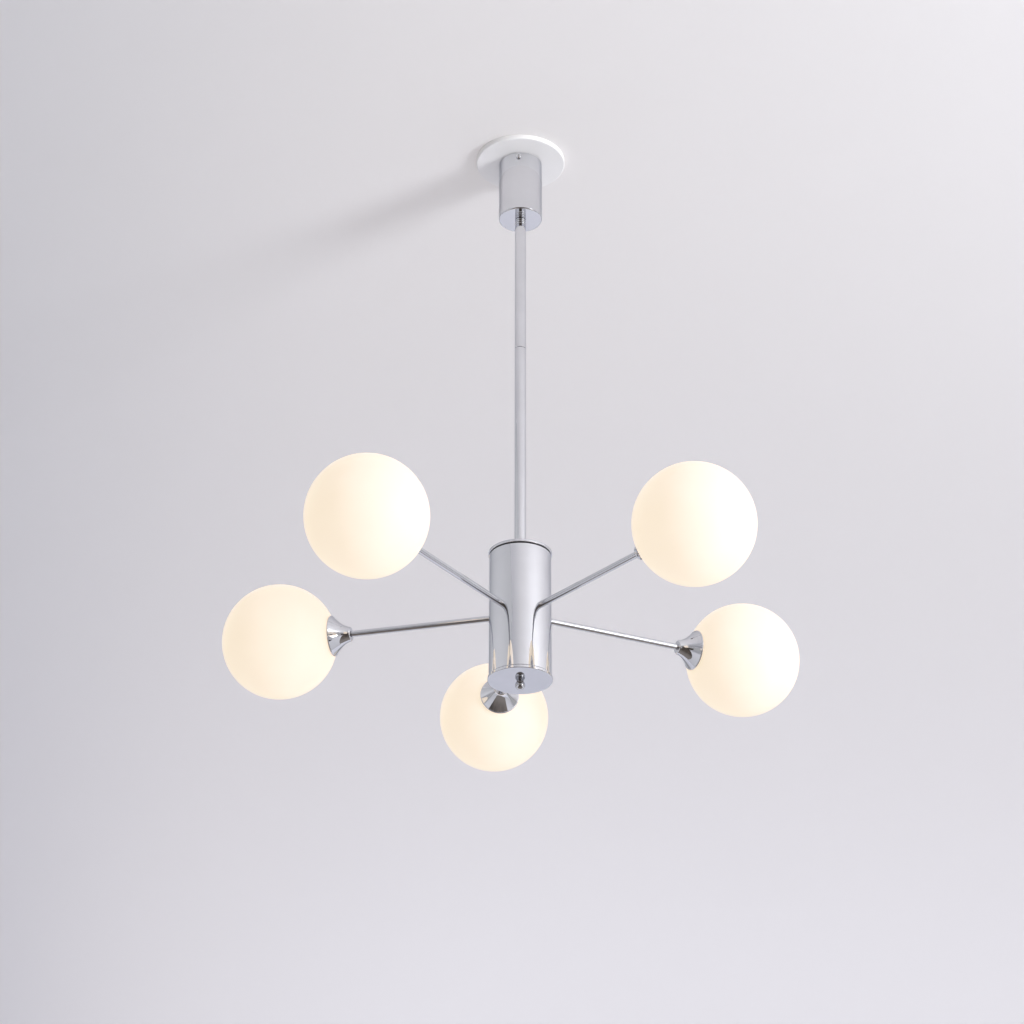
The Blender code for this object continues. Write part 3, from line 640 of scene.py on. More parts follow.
opalLook = {
    "plain": {"Metallic": 0.0, "Transmission Weight": 0.0, "IOR": 1.3, "Emission Strength": 1.0},
    "colour": (0.35, 0.325, 0.375),
    "otherColour": (0.32, 0.30, 0.345),
    "glow": (0.775, 0.65, 0.44),
    "otherGlow": (0.75, 0.635, 0.455),
    "roughness": 0.42,
    "markRoughness": 0.12,
    "swirlSize": 9.0,
    "swirlShare": 0.25,
    "paintedLightFrom": -60 * mm,  # painted light and shade: the glow turns cooler towards the top of the ball, as if lit from above, and stays warmer on its underside, as if in shade
    "paintedLightTo": 75 * mm,
    "paintedLightShare": 0.75,
    "marks": 0.5,
    "markSize": 18.0,
    "grainSize": 900.0,
    "bump": 0.02 * mm,
}


def opalFinish():  # satin opal glass with the lamp behind it
    made, tree, shader = newMaterial("opalGlassLit", opalLook["plain"])
    place = objectPlace(tree)
    swirl = fade(tree, noiseNode(tree, place, opalLook["swirlSize"], 3, 0.5), 0.35, 0.65)
    colour = mixColours(tree, swirl, opalLook["colour"], opalLook["otherColour"])
    tree.links.new(colour, shader.inputs["Base Color"])
    height = addNode(tree, "ShaderNodeSeparateXYZ", {0: place}).outputs["Z"]
    # painted light and shade: the glow is cooled towards the top of the ball and kept warmer on its
    # underside; the swirl adds the glass's own uneven tone
    upward = rangeNode(tree, height, opalLook["paintedLightFrom"], opalLook["paintedLightTo"], 0, opalLook["paintedLightShare"])
    paintedLightAndSwirl = mathNode(tree, "MAXIMUM", upward, mathNode(tree, "MULTIPLY", swirl, opalLook["swirlShare"]))
    glow = mixColours(tree, paintedLightAndSwirl, opalLook["glow"], opalLook["otherGlow"])
    tree.links.new(glow, shader.inputs["Emission Color"])
    marks = effect(tree, "handling", Size=opalLook["markSize"], Amount=opalLook["marks"])
    rough = mathNode(tree, "MULTIPLY_ADD", marks, opalLook["markRoughness"], opalLook["roughness"])
    tree.links.new(rough, shader.inputs["Roughness"])
    bumpInto(tree, shader, noiseNode(tree, place, opalLook["grainSize"], 3, 0.6), opalLook["bump"])
    return made


bulbGlassLook = {
    "plain": {"Emission Strength": 2.4, "IOR": 1.45},
    "colour": (0.82, 0.80, 0.74),
    "otherColour": (0.74, 0.72, 0.66),
    "glow": (1.0, 0.80, 0.52),
    "otherGlow": (0.90, 0.70, 0.43),
    "roughness": 0.28,
    "otherRoughness": 0.40,
    "frostSize": 260,
    "bump": 0.02 * mm,
}


def bulbFinish():  # frosted and lit
    look = bulbGlassLook
    made, tree, shader = newMaterial("frostedBulbLit", look["plain"])
    frost = fade(tree, noiseNode(tree, objectPlace(tree), look["frostSize"], 4, 0.6), 0.3, 0.7)
    tree.links.new(mixColours(tree, frost, look["colour"], look["otherColour"]), shader.inputs["Base Color"])
    tree.links.new(mixColours(tree, frost, look["glow"], look["otherGlow"]), shader.inputs["Emission Color"])
    rough = rangeNode(tree, frost, 0, 1, look["roughness"], look["otherRoughness"])
    tree.links.new(rough, shader.inputs["Roughness"])
    bumpInto(tree, shader, frost, look["bump"])
    return made


opalGlass = opalFinish()
bulbGlass = bulbFinish()
print("materials made")


# shared forms
def arcPoints(centre, radius, start, end, count):  # degrees, measured from the axis outwards
    return [
        (
            centre[0] + radius * math.sin(math.radians(start + (end - start) * i / count)),
            centre[1] + radius * math.cos(math.radians(start + (end - start) * i / count)),
        )
        for i in range(count + 1)
    ]


def weighted(piece, radii=()):  # normals follow the large faces, so mirrors stay flat or round
    change = piece.modifiers.new("normals", "WEIGHTED_NORMAL")
    change.keep_sharp = True
    bake(piece)
    if radii:
        roundWallNormals(piece, radii)
    return piece


def spanIn(node, place):  # a node's lowest and highest corners in another frame
    inverse = place.inverted()
    local = [inverse @ vertex.co for vertex in frame["nodes"][node].data.vertices]
    return (
        Vector(min(point[i] for point in local) for i in range(3)),
        Vector(max(point[i] for point in local) for i in range(3)),
    )


def put(piece, *steps):  # moves a cutter or a loose solid by several matrices, first one outermost
    place = Matrix()
    for step in steps:
        place = place @ (step if isinstance(step, Matrix) else Matrix.Translation(step))
    piece.matrix_world = place
    return piece


def turnBy(degrees, axis):
    return Matrix.Rotation(math.radians(degrees), 4, axis)


def prism(name, outline, low, high):  # an outline in X and Z, drawn out along Y
    shape = bmesh.new()
    front = [shape.verts.new((point[0], low, point[1])) for point in outline]
    back = [shape.verts.new((point[0], high, point[1])) for point in outline]
    shape.faces.new(front)
    shape.faces.new(back)
    for i in range(len(outline)):
        j = (i + 1) % len(outline)
        shape.faces.new((front[i], front[j], back[j], back[i]))
    return meshObject(name, shape)


def bar(width, low, high, start, end):  # a square-edged cutter, drawn out along Y
    half = width / 2
    return prism("cutter", [(-half, low), (half, low), (half, high), (-half, high)], start, end)


def clampScrew(look, low, high, slotDepth, turn):  # a small slotted screw, head down
    radius = look["screwRadius"]
    screw = turned(
        "screw", [(0, low), (radius, low, softEdge), (radius, high), (0, high)], steps=24, pieces=3
    )
    slot = bar(4 * mm, low - past, low + slotDepth, -look["slotWidth"] / 2, look["slotWidth"] / 2)
    return carve(screw, [put(slot, turnBy(turn, "Z"))])


def hexNut(name, acrossFlats, hole, low, high, chamfer=0.5 * mm):
    made = put(hexDrum(acrossFlats, high - low), (0, 0, (low + high) / 2))
    made.name = name
    reach = acrossFlats / 2 / math.cos(math.pi / 6) * 1.04  # a little past the corners
    face = acrossFlats / 2 * 0.97
    drop = (reach - face) * math.tan(math.radians(30))
    rounded = [(0, low), (face, low), (reach, low + drop), (reach, high - drop), (face, high), (0, high)]
    carve(made, [turned("cutter", rounded)], "INTERSECT")
    bore = turned(
        "cutter",
        [
            (0, low - past),
            (hole + chamfer + past, low - past),
            (hole, low + chamfer),
            (hole, high - chamfer),
            (hole + chamfer + past, high + past),
            (0, high + past),
        ],
        steps=48,
    )
    return weighted(carve(made, [bore]))


def washer(name, outer, hole, low, high, edge=0.25 * mm):
    corners = [(hole, low, edge), (outer, low, edge), (outer, high, edge), (hole, high, edge)]
    return weighted(turned(name, corners, closed=True, steps=72, pieces=3))


across = turnBy(math.degrees(screwHeading), "Z")  # X points along the mounting bracket
pipeLook = {
    "hole": 5.15 * mm,  # what the pipes pass through
    "bore": 3.4 * mm,
    "mouth": 0.8 * mm,
    "edge": 0.5 * mm,
    "pitch": 1.0 * mm,
    "threadDepth": 0.45 * mm,
}
print("shared forms ready")


# ceiling plate
plateLook = {
    "edgeRound": 1.5 * mm,
    "backRound": 0.4 * mm,
    "cableHole": 5 * mm,
    "cableOffset": 15 * mm,
    "screwHole": 2.3 * mm,
    "screwOffset": 17 * mm,
    "cutLength": 40 * mm,
}


def makePlate():
    top, bottom, radius = topOf("ceiling_plate"), bottomOf("ceiling_plate"), halfWidth("ceiling_plate")
    plate = turned(
        "ceilingPlate",
        [
            (0, top),
            (radius, top, plateLook["backRound"]),
            (radius, bottom, plateLook["edgeRound"]),
            (0, bottom),
        ],
        steps=160,
        pieces=7,
    )
    offset = plateLook["screwOffset"]
    spots = [("cableHole", 0, -plateLook["cableOffset"]), ("screwHole", offset, 0), ("screwHole", -offset, 0)]
    cutters = [
        put(drum(plateLook[hole], plateLook["cutLength"]), across, (x, y, (top + bottom) / 2))
        for hole, x, y in spots
    ]
    weighted(carve(plate, cutters), [radius])
    fit(plate, "ceiling_fitting", whitePaint, "white_plastic", "ceiling_plate")


makePlate()


# mounting bracket: a strap with both ends bent down
bracketLook = {"sheet": 1.5 * mm, "bend": 2.4 * mm, "hole": 2.3 * mm, "edge": 0.25 * mm}


def makeBracket():
    low, high = spanIn("mounting_bracket", across)
    sheet, bend = bracketLook["sheet"], bracketLook["bend"]
    outline = roundedCorners(
        [
            (low.x, low.z),
            (low.x, high.z, bend),
            (high.x, high.z, bend),
            (high.x, low.z),
            (high.x - sheet, low.z),
            (high.x - sheet, high.z - sheet, bend - sheet),
            (low.x + sheet, high.z - sheet, bend - sheet),
            (low.x + sheet, low.z),
        ],
        True,
        6,
    )
    bracket = prism("mountingBracket", outline, low.y, high.y)
    cutters = []
    for side in (1, -1):
        inSide, inTop = (side * (high.x - sheet / 2), 0, screwMiddle.z), side * plateLook["screwOffset"]
        cutters.append(put(drum(bracketLook["hole"], 5 * sheet), inSide, turnBy(90, "Y")))
        cutters.append(put(drum(bracketLook["hole"], 5 * sheet), (inTop, 0, high.z - sheet / 2)))
    carve(bracket, cutters)
    weighted(bevelled(bracket, bracketLook["edge"]))
    fit(bracket, "ceiling_fitting", steelFinish, "zinc_steel", "mounting_bracket", place=across)


makeBracket()


# pan-head screws that hold the bracket and the plate on the ceiling
plateScrewLook = {
    "radius": 2 * mm,
    "pitch": 1.0 * mm,
    "depth": 0.4 * mm,
    "pointLength": 0.6 * mm,
    "headRound": 1.3 * mm,
    "crossWidth": 1.0 * mm,
    "crossLength": 4 * mm,
    "crossTurn": 20,
}


def makePlateScrews():
    for number, side in ((1, 1), (2, -1)):
        node = f"plate_screw_{number}"
        top, bottom, headRadius = topOf(node), bottomOf(node), halfWidth(node)
        headTop = topOf("mounting_bracket") - bracketLook["sheet"] - touchGap
        thread = threadRun(
            plateScrewLook["radius"],
            plateScrewLook["depth"],
            top - plateScrewLook["pointLength"],
            headTop,
            plateScrewLook["pitch"],
        )
        screw = turned(
            f"plateScrew{number}",
            [
                (0, top),
                *thread,
                (headRadius, headTop, softEdge),
                (headRadius, bottom, plateScrewLook["headRound"]),
                (0, bottom),
            ],
            steps=40,
        )
        cross = []
        for turn in (0, 90):
            cut = hexDrum(plateScrewLook["crossWidth"], plateScrewLook["crossLength"])
            aside = turnBy(turn + plateScrewLook["crossTurn"], "Z")
            cross.append(put(cut, (0, 0, bottom), aside, turnBy(90, "Y")))
        weighted(carve(screw, cross))
        shift = Matrix.Translation(across @ Vector((side * plateLook["screwOffset"], 0, 0)))
        fit(screw, "ceiling_fitting", steelFinish, "zinc_steel", node, place=shift)


makePlateScrews()


# terminal block with its clamp screws
blockLook = {
    "edge": 0.9 * mm,
    "poles": 3,
    "pitch": 6 * mm,
    "wellRadius": 1.55 * mm,
    "wellDepth": 3.2 * mm,
    "wellOffset": 4.3 * mm,
    "entryRadius": 1.7 * mm,
    "entryDepth": 4 * mm,
    "entryRise": 0.5 * mm,  # above the block's middle
    "grooveWidth": 0.8 * mm,
    "grooveDepth": 1.2 * mm,
    "screwRadius": 1.25 * mm,
    "screwInset": 1.4 * mm,
    "screwLength": 1.9 * mm,
    "slotWidth": 0.4 * mm,
    "slotDepth": 0.5 * mm,
}


def makeBlock():
    low, high = spanIn("terminal_block", across)
    middle = (low + high) / 2
    shape = bmesh.new()
    bmesh.ops.create_cube(shape, size=1)
    bmesh.ops.scale(shape, vec=high - low, verts=shape.verts)
    bmesh.ops.translate(shape, vec=middle, verts=shape.verts)
    block = bevelled(meshObject("terminalBlock", shape), blockLook["edge"], 3)
    cutters = []
    spots = [
        ((pole - (blockLook["poles"] - 1) / 2) * blockLook["pitch"], side)
        for pole in range(blockLook["poles"])
        for side in (1, -1)
    ]
    for x, side in spots:
        well = drum(blockLook["wellRadius"], 2 * blockLook["wellDepth"], 24)
        cutters.append(put(well, (x, side * blockLook["wellOffset"], low.z)))
        entry = drum(blockLook["entryRadius"], 2 * blockLook["entryDepth"], 24)
        edge = high.y if side > 0 else low.y
        cutters.append(put(entry, (x, edge, middle.z + blockLook["entryRise"]), turnBy(90, "X")))
    for step in (0.5, -0.5):  # grooves between the poles
        deep = low.z + blockLook["grooveDepth"]
        groove = bar(blockLook["grooveWidth"], low.z - past, deep, low.y - past, high.y + past)
        cutters.append(put(groove, (step * blockLook["pitch"], 0, 0)))
    weighted(carve(block, cutters))
    fit(block, "ceiling_fitting", whitePlastic, "white_plastic", "terminal_block", place=across)
    screws = []
    for x, side in spots:
        face = low.z + blockLook["screwInset"]
        turn = 40 * x / mm + 15 * side  # each slot stands its own way
        screw = clampScrew(blockLook, face, face + blockLook["screwLength"], blockLook["slotDepth"], turn)
        screws.append(put(screw, (x, side * blockLook["wellOffset"], 0)))
    heads = weighted(joined("blockScrews", screws))
    fit(heads, "ceiling_fitting", brassFinish, "brass", place=across)


makeBlock()


# canopy
canopyLook = {
    "wall": 1.2 * mm,
    "edgeRound": 1.9 * mm,
    "insideRound": 0.6 * mm,
    "topRound": 0.25 * mm,
    "screwHole": 2.3 * mm,
}


def makeCanopy():
    top, bottom, radius = topOf("canopy"), bottomOf("canopy"), halfWidth("canopy")
    wall, hole = canopyLook["wall"], pipeLook["hole"]
    canopy = turned(
        "canopyShell",
        [
            (radius - wall, top, canopyLook["topRound"]),
            (radius, top, canopyLook["topRound"]),
            (radius, bottom, canopyLook["edgeRound"]),
            (hole, bottom, fineEdge),
            (hole, bottom + wall, fineEdge),
            (radius - wall, bottom + wall, canopyLook["insideRound"]),
        ],
        closed=True,
        steps=192,
        pieces=6,
    )
    cutters = [
        put(
            drum(canopyLook["screwHole"], 8 * wall),
            across,
            (side * radius, 0, screwMiddle.z),
            turnBy(90, "Y"),
        )
        for side in (1, -1)
    ]
    weighted(carve(canopy, cutters), [radius, radius - wall])
    fit(canopy, "ceiling_fitting", chromeFinish, "chrome", "canopy")


makeCanopy()

canopyScrewLook = {
    "radius": 2 * mm,
    "headRadius": 3.9 * mm,
    "headLength": 3.2 * mm,
    "headRound": 2.4 * mm,
    "socket": 2.4 * mm,  # across its flats
    "socketDepth": 1.9 * mm,
    "headGap": 0.05 * mm,
    "headRise": 0.25 * mm,
    "neck": 1.6 * mm,
    "length": 10 * mm,
    "pitch": 0.7 * mm,
    "depth": 0.35 * mm,
}


def makeCanopyScrews():
    look = canopyScrewLook
    start = halfWidth("canopy") + look["headGap"]
    end = start + look["headLength"] + look["headRise"]
    tip = halfWidth("canopy") - look["length"]
    for number, side in ((1, 1), (2, -1)):
        screw = turned(
            f"canopyScrew{number}",
            [
                (0, end),
                (look["headRadius"], end, look["headRound"]),
                (look["headRadius"], start, softEdge),
                (look["radius"], start),
                *threadRun(look["radius"], look["depth"], start - look["neck"], tip, look["pitch"]),
                (0, tip),
            ],
            steps=64,
            pieces=10,
        )
        socket = hexDrum(look["socket"], 2 * look["socketDepth"])
        weighted(carve(screw, [put(socket, (0, 0, end))]))
        place = across @ Matrix.Translation((0, 0, screwMiddle.z)) @ turnBy(side * 90, "Y")
        # the heads take the paler satin chrome, whose colour paints in a highlight
        fit(screw, "ceiling_fitting", satinHighlightFinish, "chrome", f"canopy_screw_{number}", place=place)


makeCanopyScrews()
print("ceiling fitting made")


# threaded pipes with their nuts and washers
def pipeWall(low, high):  # the threaded outside, from the top down
    edge = pipeLook["edge"]
    radius, depth = halfWidth("canopy_nipple"), pipeLook["threadDepth"]
    return threadRun(radius, depth, high - edge, low + edge, pipeLook["pitch"])


def makePipes():
    for name, node, body in (
        ("canopyNipple", "canopy_nipple", "ceiling_fitting"),
        ("stemCoupler", "stem_coupler", "fixture"),
    ):
        low, high, bore = bottomOf(node), topOf(node), pipeLook["bore"]
        mouth = bore + pipeLook["mouth"]
        points = [(bore, low), (bore, high), (mouth, high), *pipeWall(low, high), (mouth, low)]
        pipe = turned(name, points, closed=True, steps=48)
        fit(pipe, body, steelFinish, "zinc_steel", node)


makePipes()

spindleLook = {
    "plugHole": 2.7 * mm,
    "plugLength": 20 * mm,
    "plugTaper": 2 * mm,
    "slotWidth": 6.2 * mm,
    "slotLength": 30 * mm,
    "slotBelowNut": 6 * mm,
}
cableWay = (jointAxes["globe_1_pull"] + jointAxes["globe_5_pull"]).normalized()
cableTurn = turnBy(math.degrees(math.atan2(cableWay.y, cableWay.x)), "Z")
slotTop = bottomOf("hub_nut") - spindleLook["slotBelowNut"]


def makeSpindle():
    low, high = bottomOf("hub_spindle"), topOf("hub_spindle")
    bore, plug = pipeLook["bore"], spindleLook["plugHole"]
    mouth = bore + pipeLook["mouth"]
    spindle = turned(
        "hubSpindle",
        [
            (plug, low),
            (plug, low + spindleLook["plugLength"]),
            (bore, low + spindleLook["plugLength"] + spindleLook["plugTaper"]),
            (bore, high),
            (mouth, high),
            *pipeWall(low, high),
            (mouth, low),
        ],
        closed=True,
        steps=48,
    )
    half = spindleLook["slotWidth"] / 2
    slotLow = slotTop - spindleLook["slotLength"]
    corners = [(-half, slotLow), (half, slotLow), (half, slotTop), (-half, slotTop)]
    outline = roundedCorners([(*corner, 0.98 * half) for corner in corners], True, 8)
    slot = prism("cutter", outline, 0, 2 * halfWidth("canopy_nipple"))
    carve(spindle, [put(slot, cableTurn, turnBy(-90, "Z"))])
    fit(spindle, "fixture", steelFinish, "zinc_steel", "hub_spindle")


makeSpindle()


def makePipeFasteners():
    for name, node, body in (
        ("canopyWasher", "canopy_washer", "ceiling_fitting"),
        ("hubWasher", "hub_washer", "fixture"),
    ):
        made = washer(name, halfWidth(node), pipeLook["hole"], bottomOf(node), topOf(node))
        fit(made, body, steelFinish, "zinc_steel", node)
    for name, node, body in (
        ("canopyNut", "canopy_nut", "ceiling_fitting"),
        ("hubNut", "hub_nut", "fixture"),
    ):
        low, high = boxOf(node)
        flats = min(high.x - low.x, high.y - low.y)
        made = hexNut(name, flats, pipeLook["hole"], low.z, high.z)
        fit(made, body, brassFinish, "brass", node)


makePipeFasteners()


# stem
stemLook = {
    "wall": 1.2 * mm,
    "edgeRound": 0.45 * mm,
    "threadLength": 20 * mm,
    "step": 1 * mm,
    "grooves": (2.8 * mm, 5.8 * mm, 8.8 * mm),  # below the canopy
    "grooveHalf": 0.7 * mm,
    "grooveDepth": 0.45 * mm,
    "grooveShoulder": 0.25 * mm,
    "grooveRoot": 0.4 * mm,
}


def makeStem():
    for name, node in (("stemUpper", "stem_upper"), ("stemLower", "stem_lower")):
        top, bottom, radius = topOf(node), bottomOf(node), halfWidth(node)
        hole, bore, deep = pipeLook["hole"], radius - stemLook["wall"], stemLook["threadLength"]
        rings = []
        for depth in stemLook["grooves"] if node == "stem_upper" else ():
            middle, half = top - depth, stemLook["grooveHalf"]
            rings += [
                (radius, middle + half, stemLook["grooveShoulder"]),
                (radius - stemLook["grooveDepth"], middle, stemLook["grooveRoot"]),
                (radius, middle - half, stemLook["grooveShoulder"]),
            ]
        tube = turned(
            name,
            [
                (hole, top, fineEdge),
                (radius, top, stemLook["edgeRound"]),
                *rings,
                (radius, bottom, stemLook["edgeRound"]),
                (hole, bottom, fineEdge),
                (hole, bottom + deep),
                (bore, bottom + deep + stemLook["step"]),
                (bore, top - deep - stemLook["step"]),
                (hole, top - deep),
            ],
            closed=True,
            steps=128,
        )
        fit(weighted(tube), "fixture", chromeFinish, "chrome", node)


makeStem()


# hub: a tube between two lipped caps, held by a ball-headed screw
hubLook = {
    "wall": 1.2 * mm,
    "edgeRound": 0.35 * mm,
    "armHole": 3.2 * mm,
    "topGroove": 1.1 * mm,  # shows dark under the top cap's lip
    "bottomGroove": 0.4 * mm,
}
capLook = {
    "lip": 4 * mm,
    "plate": 2.5 * mm,
    "edgeRound": 0.75 * mm,
    "insideRound": 0.5 * mm,
    "spigotWall": 1.5 * mm,
    "spigotGap": touchGap,
}


def makeHubBody():
    top, bottom = topOf("hub_body") - hubLook["topGroove"], bottomOf("hub_body") + hubLook["bottomGroove"]
    radius, edge = halfWidth("hub_body"), hubLook["edgeRound"]
    bore = radius - hubLook["wall"]
    body = turned(
        "hubBody",
        [(bore, top, edge), (radius, top, edge), (radius, bottom, edge), (bore, bottom, edge)],
        closed=True,
        steps=240,
        pieces=3,
    )
    inWall = (0, 0, radius - hubLook["wall"] / 2)
    holes = [
        put(drum(hubLook["armHole"], 8 * hubLook["wall"]), armFrames[number], inWall) for number in armNumbers
    ]
    weighted(carve(body, holes), [radius, bore])
    fit(body, "fixture", chromeFinish, "chrome", "hub_body")


makeHubBody()


def makeCaps():
    spigot = halfWidth("hub_body") - hubLook["wall"] - capLook["spigotGap"]
    inner = spigot - capLook["spigotWall"]
    topFace, bottomFace = topOf("hub_top_cap"), bottomOf("hub_bottom_cap")
    for name, node, body, face, towards, hole in (
        ("hubTopCap", "hub_top_cap", "fixture", topFace, -1, pipeLook["hole"]),
        ("hubBottomCap", "hub_bottom_cap", "hub_cover", bottomFace, 1, spindleLook["plugHole"]),
    ):
        radius, edge = halfWidth(node), capLook["edgeRound"]
        lip, plate = face + towards * capLook["lip"], face + towards * capLook["plate"]
        end = bottomOf(node) if towards < 0 else topOf(node)
        cap = turned(
            name,
            [
                (hole, face, fineEdge),
                (radius, face, edge),
                (radius, lip, edge),
                (spigot, lip, fineEdge),
                (spigot, end, softEdge),
                (inner, end, softEdge),
                (inner, plate, capLook["insideRound"]),
                (hole, plate, fineEdge),
            ],
            closed=True,
            steps=240,
            pieces=6,
        )
        fit(weighted(cap), body, chromeFinish, "chrome", node)


makeCaps()

# painted shade: a near-black ring, drawn as a guessed seal, fills the groove under the top cap's lip with the
# shade of that gap
gapShadeLook = {
    "setBack": 0.35 * mm,  # from the tube's outside
    "width": 1.1 * mm,
    "overTop": 0.25 * mm,
    "clearance": 0.05 * mm,
}


def makeTopGapShade():
    top = topOf("hub_body") + gapShadeLook["overTop"]
    low = topOf("hub_body") - hubLook["topGroove"] + gapShadeLook["clearance"]
    outer = halfWidth("hub_body") - gapShadeLook["setBack"]
    inner = outer - gapShadeLook["width"]
    gapShade = turned(
        "topCapGapShade",
        [(inner, low), (outer, low, fineEdge), (outer, top, fineEdge), (inner, top)],
        closed=True,
        steps=192,
        pieces=3,
    )
    fit(weighted(gapShade), "fixture", gapShadeBlack, "wiring")


makeTopGapShade()

finialLook = {
    "ball": 6.3 * mm,
    "neck": 3.4 * mm,
    "collar": 4.6 * mm,
    "collarHeight": 0.9 * mm,
    "collarRound": 0.35 * mm,
    "shank": 2.4 * mm,
    "tip": 0.6 * mm,
    "pitch": 0.8 * mm,
    "depth": 0.4 * mm,
}


def makeFinial():
    top, bottom = topOf("finial_screw"), bottomOf("finial_screw")
    seat = bottomOf("hub_bottom_cap") - touchGap
    ball, neck, collar, shank = (finialLook[name] for name in ("ball", "neck", "collar", "shank"))
    centre = bottom + ball
    touch = math.degrees(math.asin(neck / ball))
    screw = turned(
        "finialScrew",
        [
            (0, top),
            (shank - finialLook["tip"], top),
            *threadRun(shank, finialLook["depth"], top - 0.5 * mm, seat + 1 * mm, finialLook["pitch"]),
            (shank, seat),
            (collar, seat, fineEdge),
            (collar, seat - finialLook["collarHeight"], finialLook["collarRound"]),
            *arcPoints((0, centre), ball, touch, 180, 30)[:-1],
            (0, bottom),
        ],
        steps=96,
    )
    fit(weighted(screw), "hub_cover", chromeFinish, "chrome", "finial_screw")


makeFinial()
print("stem and hub made")


# arms, with threaded ends and a nut inside the hub
armLook = {
    "radius": 4 * mm,
    "neck": 2.9 * mm,
    "bore": 2.1 * mm,
    "pitch": 0.75 * mm,
    "threadDepth": 0.3 * mm,
    "edgeRound": 0.4 * mm,
    "intoHub": 0.45 * mm,  # the arm's shoulder is let into the hub's round wall by this much
    "nutHole": 3.2 * mm,
}


def makeArms():
    for number in armNumbers:
        place = armFrames[number]
        near, far, radius = alongArm(f"arm_tube_{number}", number)
        cupStart = alongArm(f"cup_{number}", number)[0]
        shoulder = halfWidth("hub_body") + touchGap - armLook["intoHub"]
        neck, depth, pitch, bore = armLook["neck"], armLook["threadDepth"], armLook["pitch"], armLook["bore"]
        arm = turned(
            f"arm{number}",
            [
                (bore, far),
                *threadRun(neck, depth, far - 0.3 * mm, cupStart + 0.2 * mm, pitch),
                (neck, cupStart - 0.1 * mm),
                (radius, cupStart - 0.1 * mm, armLook["edgeRound"]),
                (radius, shoulder, 0.1 * mm),
                (neck, shoulder),
                *threadRun(neck, depth, shoulder - 1.6 * mm, near + 0.3 * mm, pitch),
                (bore, near),
            ],
            closed=True,
            steps=64,
        )
        fit(weighted(arm), "fixture", chromeFinish, "chrome", f"arm_tube_{number}", place=place)
        low, high = spanIn(f"arm_nut_{number}", place)
        flats = min(high.x - low.x, high.y - low.y)
        nut = hexNut(f"armNut{number}", flats, armLook["nutHole"], low.z, high.z, 0.3 * mm)
        fit(nut, "fixture", steelFinish, "zinc_steel", f"arm_nut_{number}", place=place)


makeArms()


# cups
cupLook = {
    "small": 9.4 * mm,
    "backRound": 2.0 * mm,
    "wall": 1.1 * mm,
    "bead": 1.15 * mm,
    "hole": 3.2 * mm,
    "back": 2 * mm,
    "evenPart": 0.4,
    "latePower": 2.5,
    "swell": 0.12,
    "lipIn": 1.05,  # where the flare meets the bead, in bead radii from the rim
    "lipDown": 1.95,
    "lipFrom": 165,
    "lipTo": -75,
    "rings": 30,
}


def cupGrowth(share):  # how far the cup has opened, from its small end (0) to its rim (1)
    even = cupLook["evenPart"]
    late = (1 - even) * share ** cupLook["latePower"]
    return even * share + late + cupLook["swell"] * math.sin(math.pi * share) * share**2


def makeCups():
    for number in armNumbers:
        start, rim, rimRadius = alongArm(f"cup_{number}", number)
        bead, wall, small = cupLook["bead"], cupLook["wall"], cupLook["small"]
        first = start + cupLook["backRound"]
        beadCentre = (rimRadius - bead, rim - bead)
        last = (rimRadius - bead * cupLook["lipIn"], rim - cupLook["lipDown"] * bead)
        outer = []
        for i in range(cupLook["rings"] + 1):
            share = i / cupLook["rings"]
            outer.append((small + (last[0] - small) * cupGrowth(share), first + (last[1] - first) * share))
        back = start + cupLook["back"]
        inner = [(radius - wall, reach) for radius, reach in outer if reach > back + 0.3 * mm]
        lip = arcPoints(beadCentre, bead, cupLook["lipFrom"], cupLook["lipTo"], 16)
        cup = turned(
            f"cup{number}",
            [
                (cupLook["hole"], start, fineEdge),
                (small, start, cupLook["backRound"]),
                *outer[1:],
                *lip,
                *inner[-2::-1],
                (inner[0][0] - 0.1 * mm, back),
                (cupLook["hole"], back, fineEdge),
            ],
            closed=True,
            steps=128,
            pieces=8,
        )
        fit(cup, "fixture", chromeFinish, "chrome", f"cup_{number}", place=armFrames[number])


makeCups()
print("arms and cups made")


# lamp holders: ceramic with a steel nut at the arm's end
holderLook = {
    "nut": 12.2 * mm,  # across its flats
    "nutLength": 5 * mm,
    "neckRadius": 7 * mm,
    "barrelStep": 4 * mm,
    "topLength": 5 * mm,
    "topRadius": 10 * mm,
    "socket": 7.1 * mm,
    "hole": 3.2 * mm,
    "pitch": 2.2 * mm,
    "threadDepth": 0.6 * mm,
    "socketPitch": 2.5 * mm,
    "socketDepth": 0.5 * mm,
    "wall": 2 * mm,
}


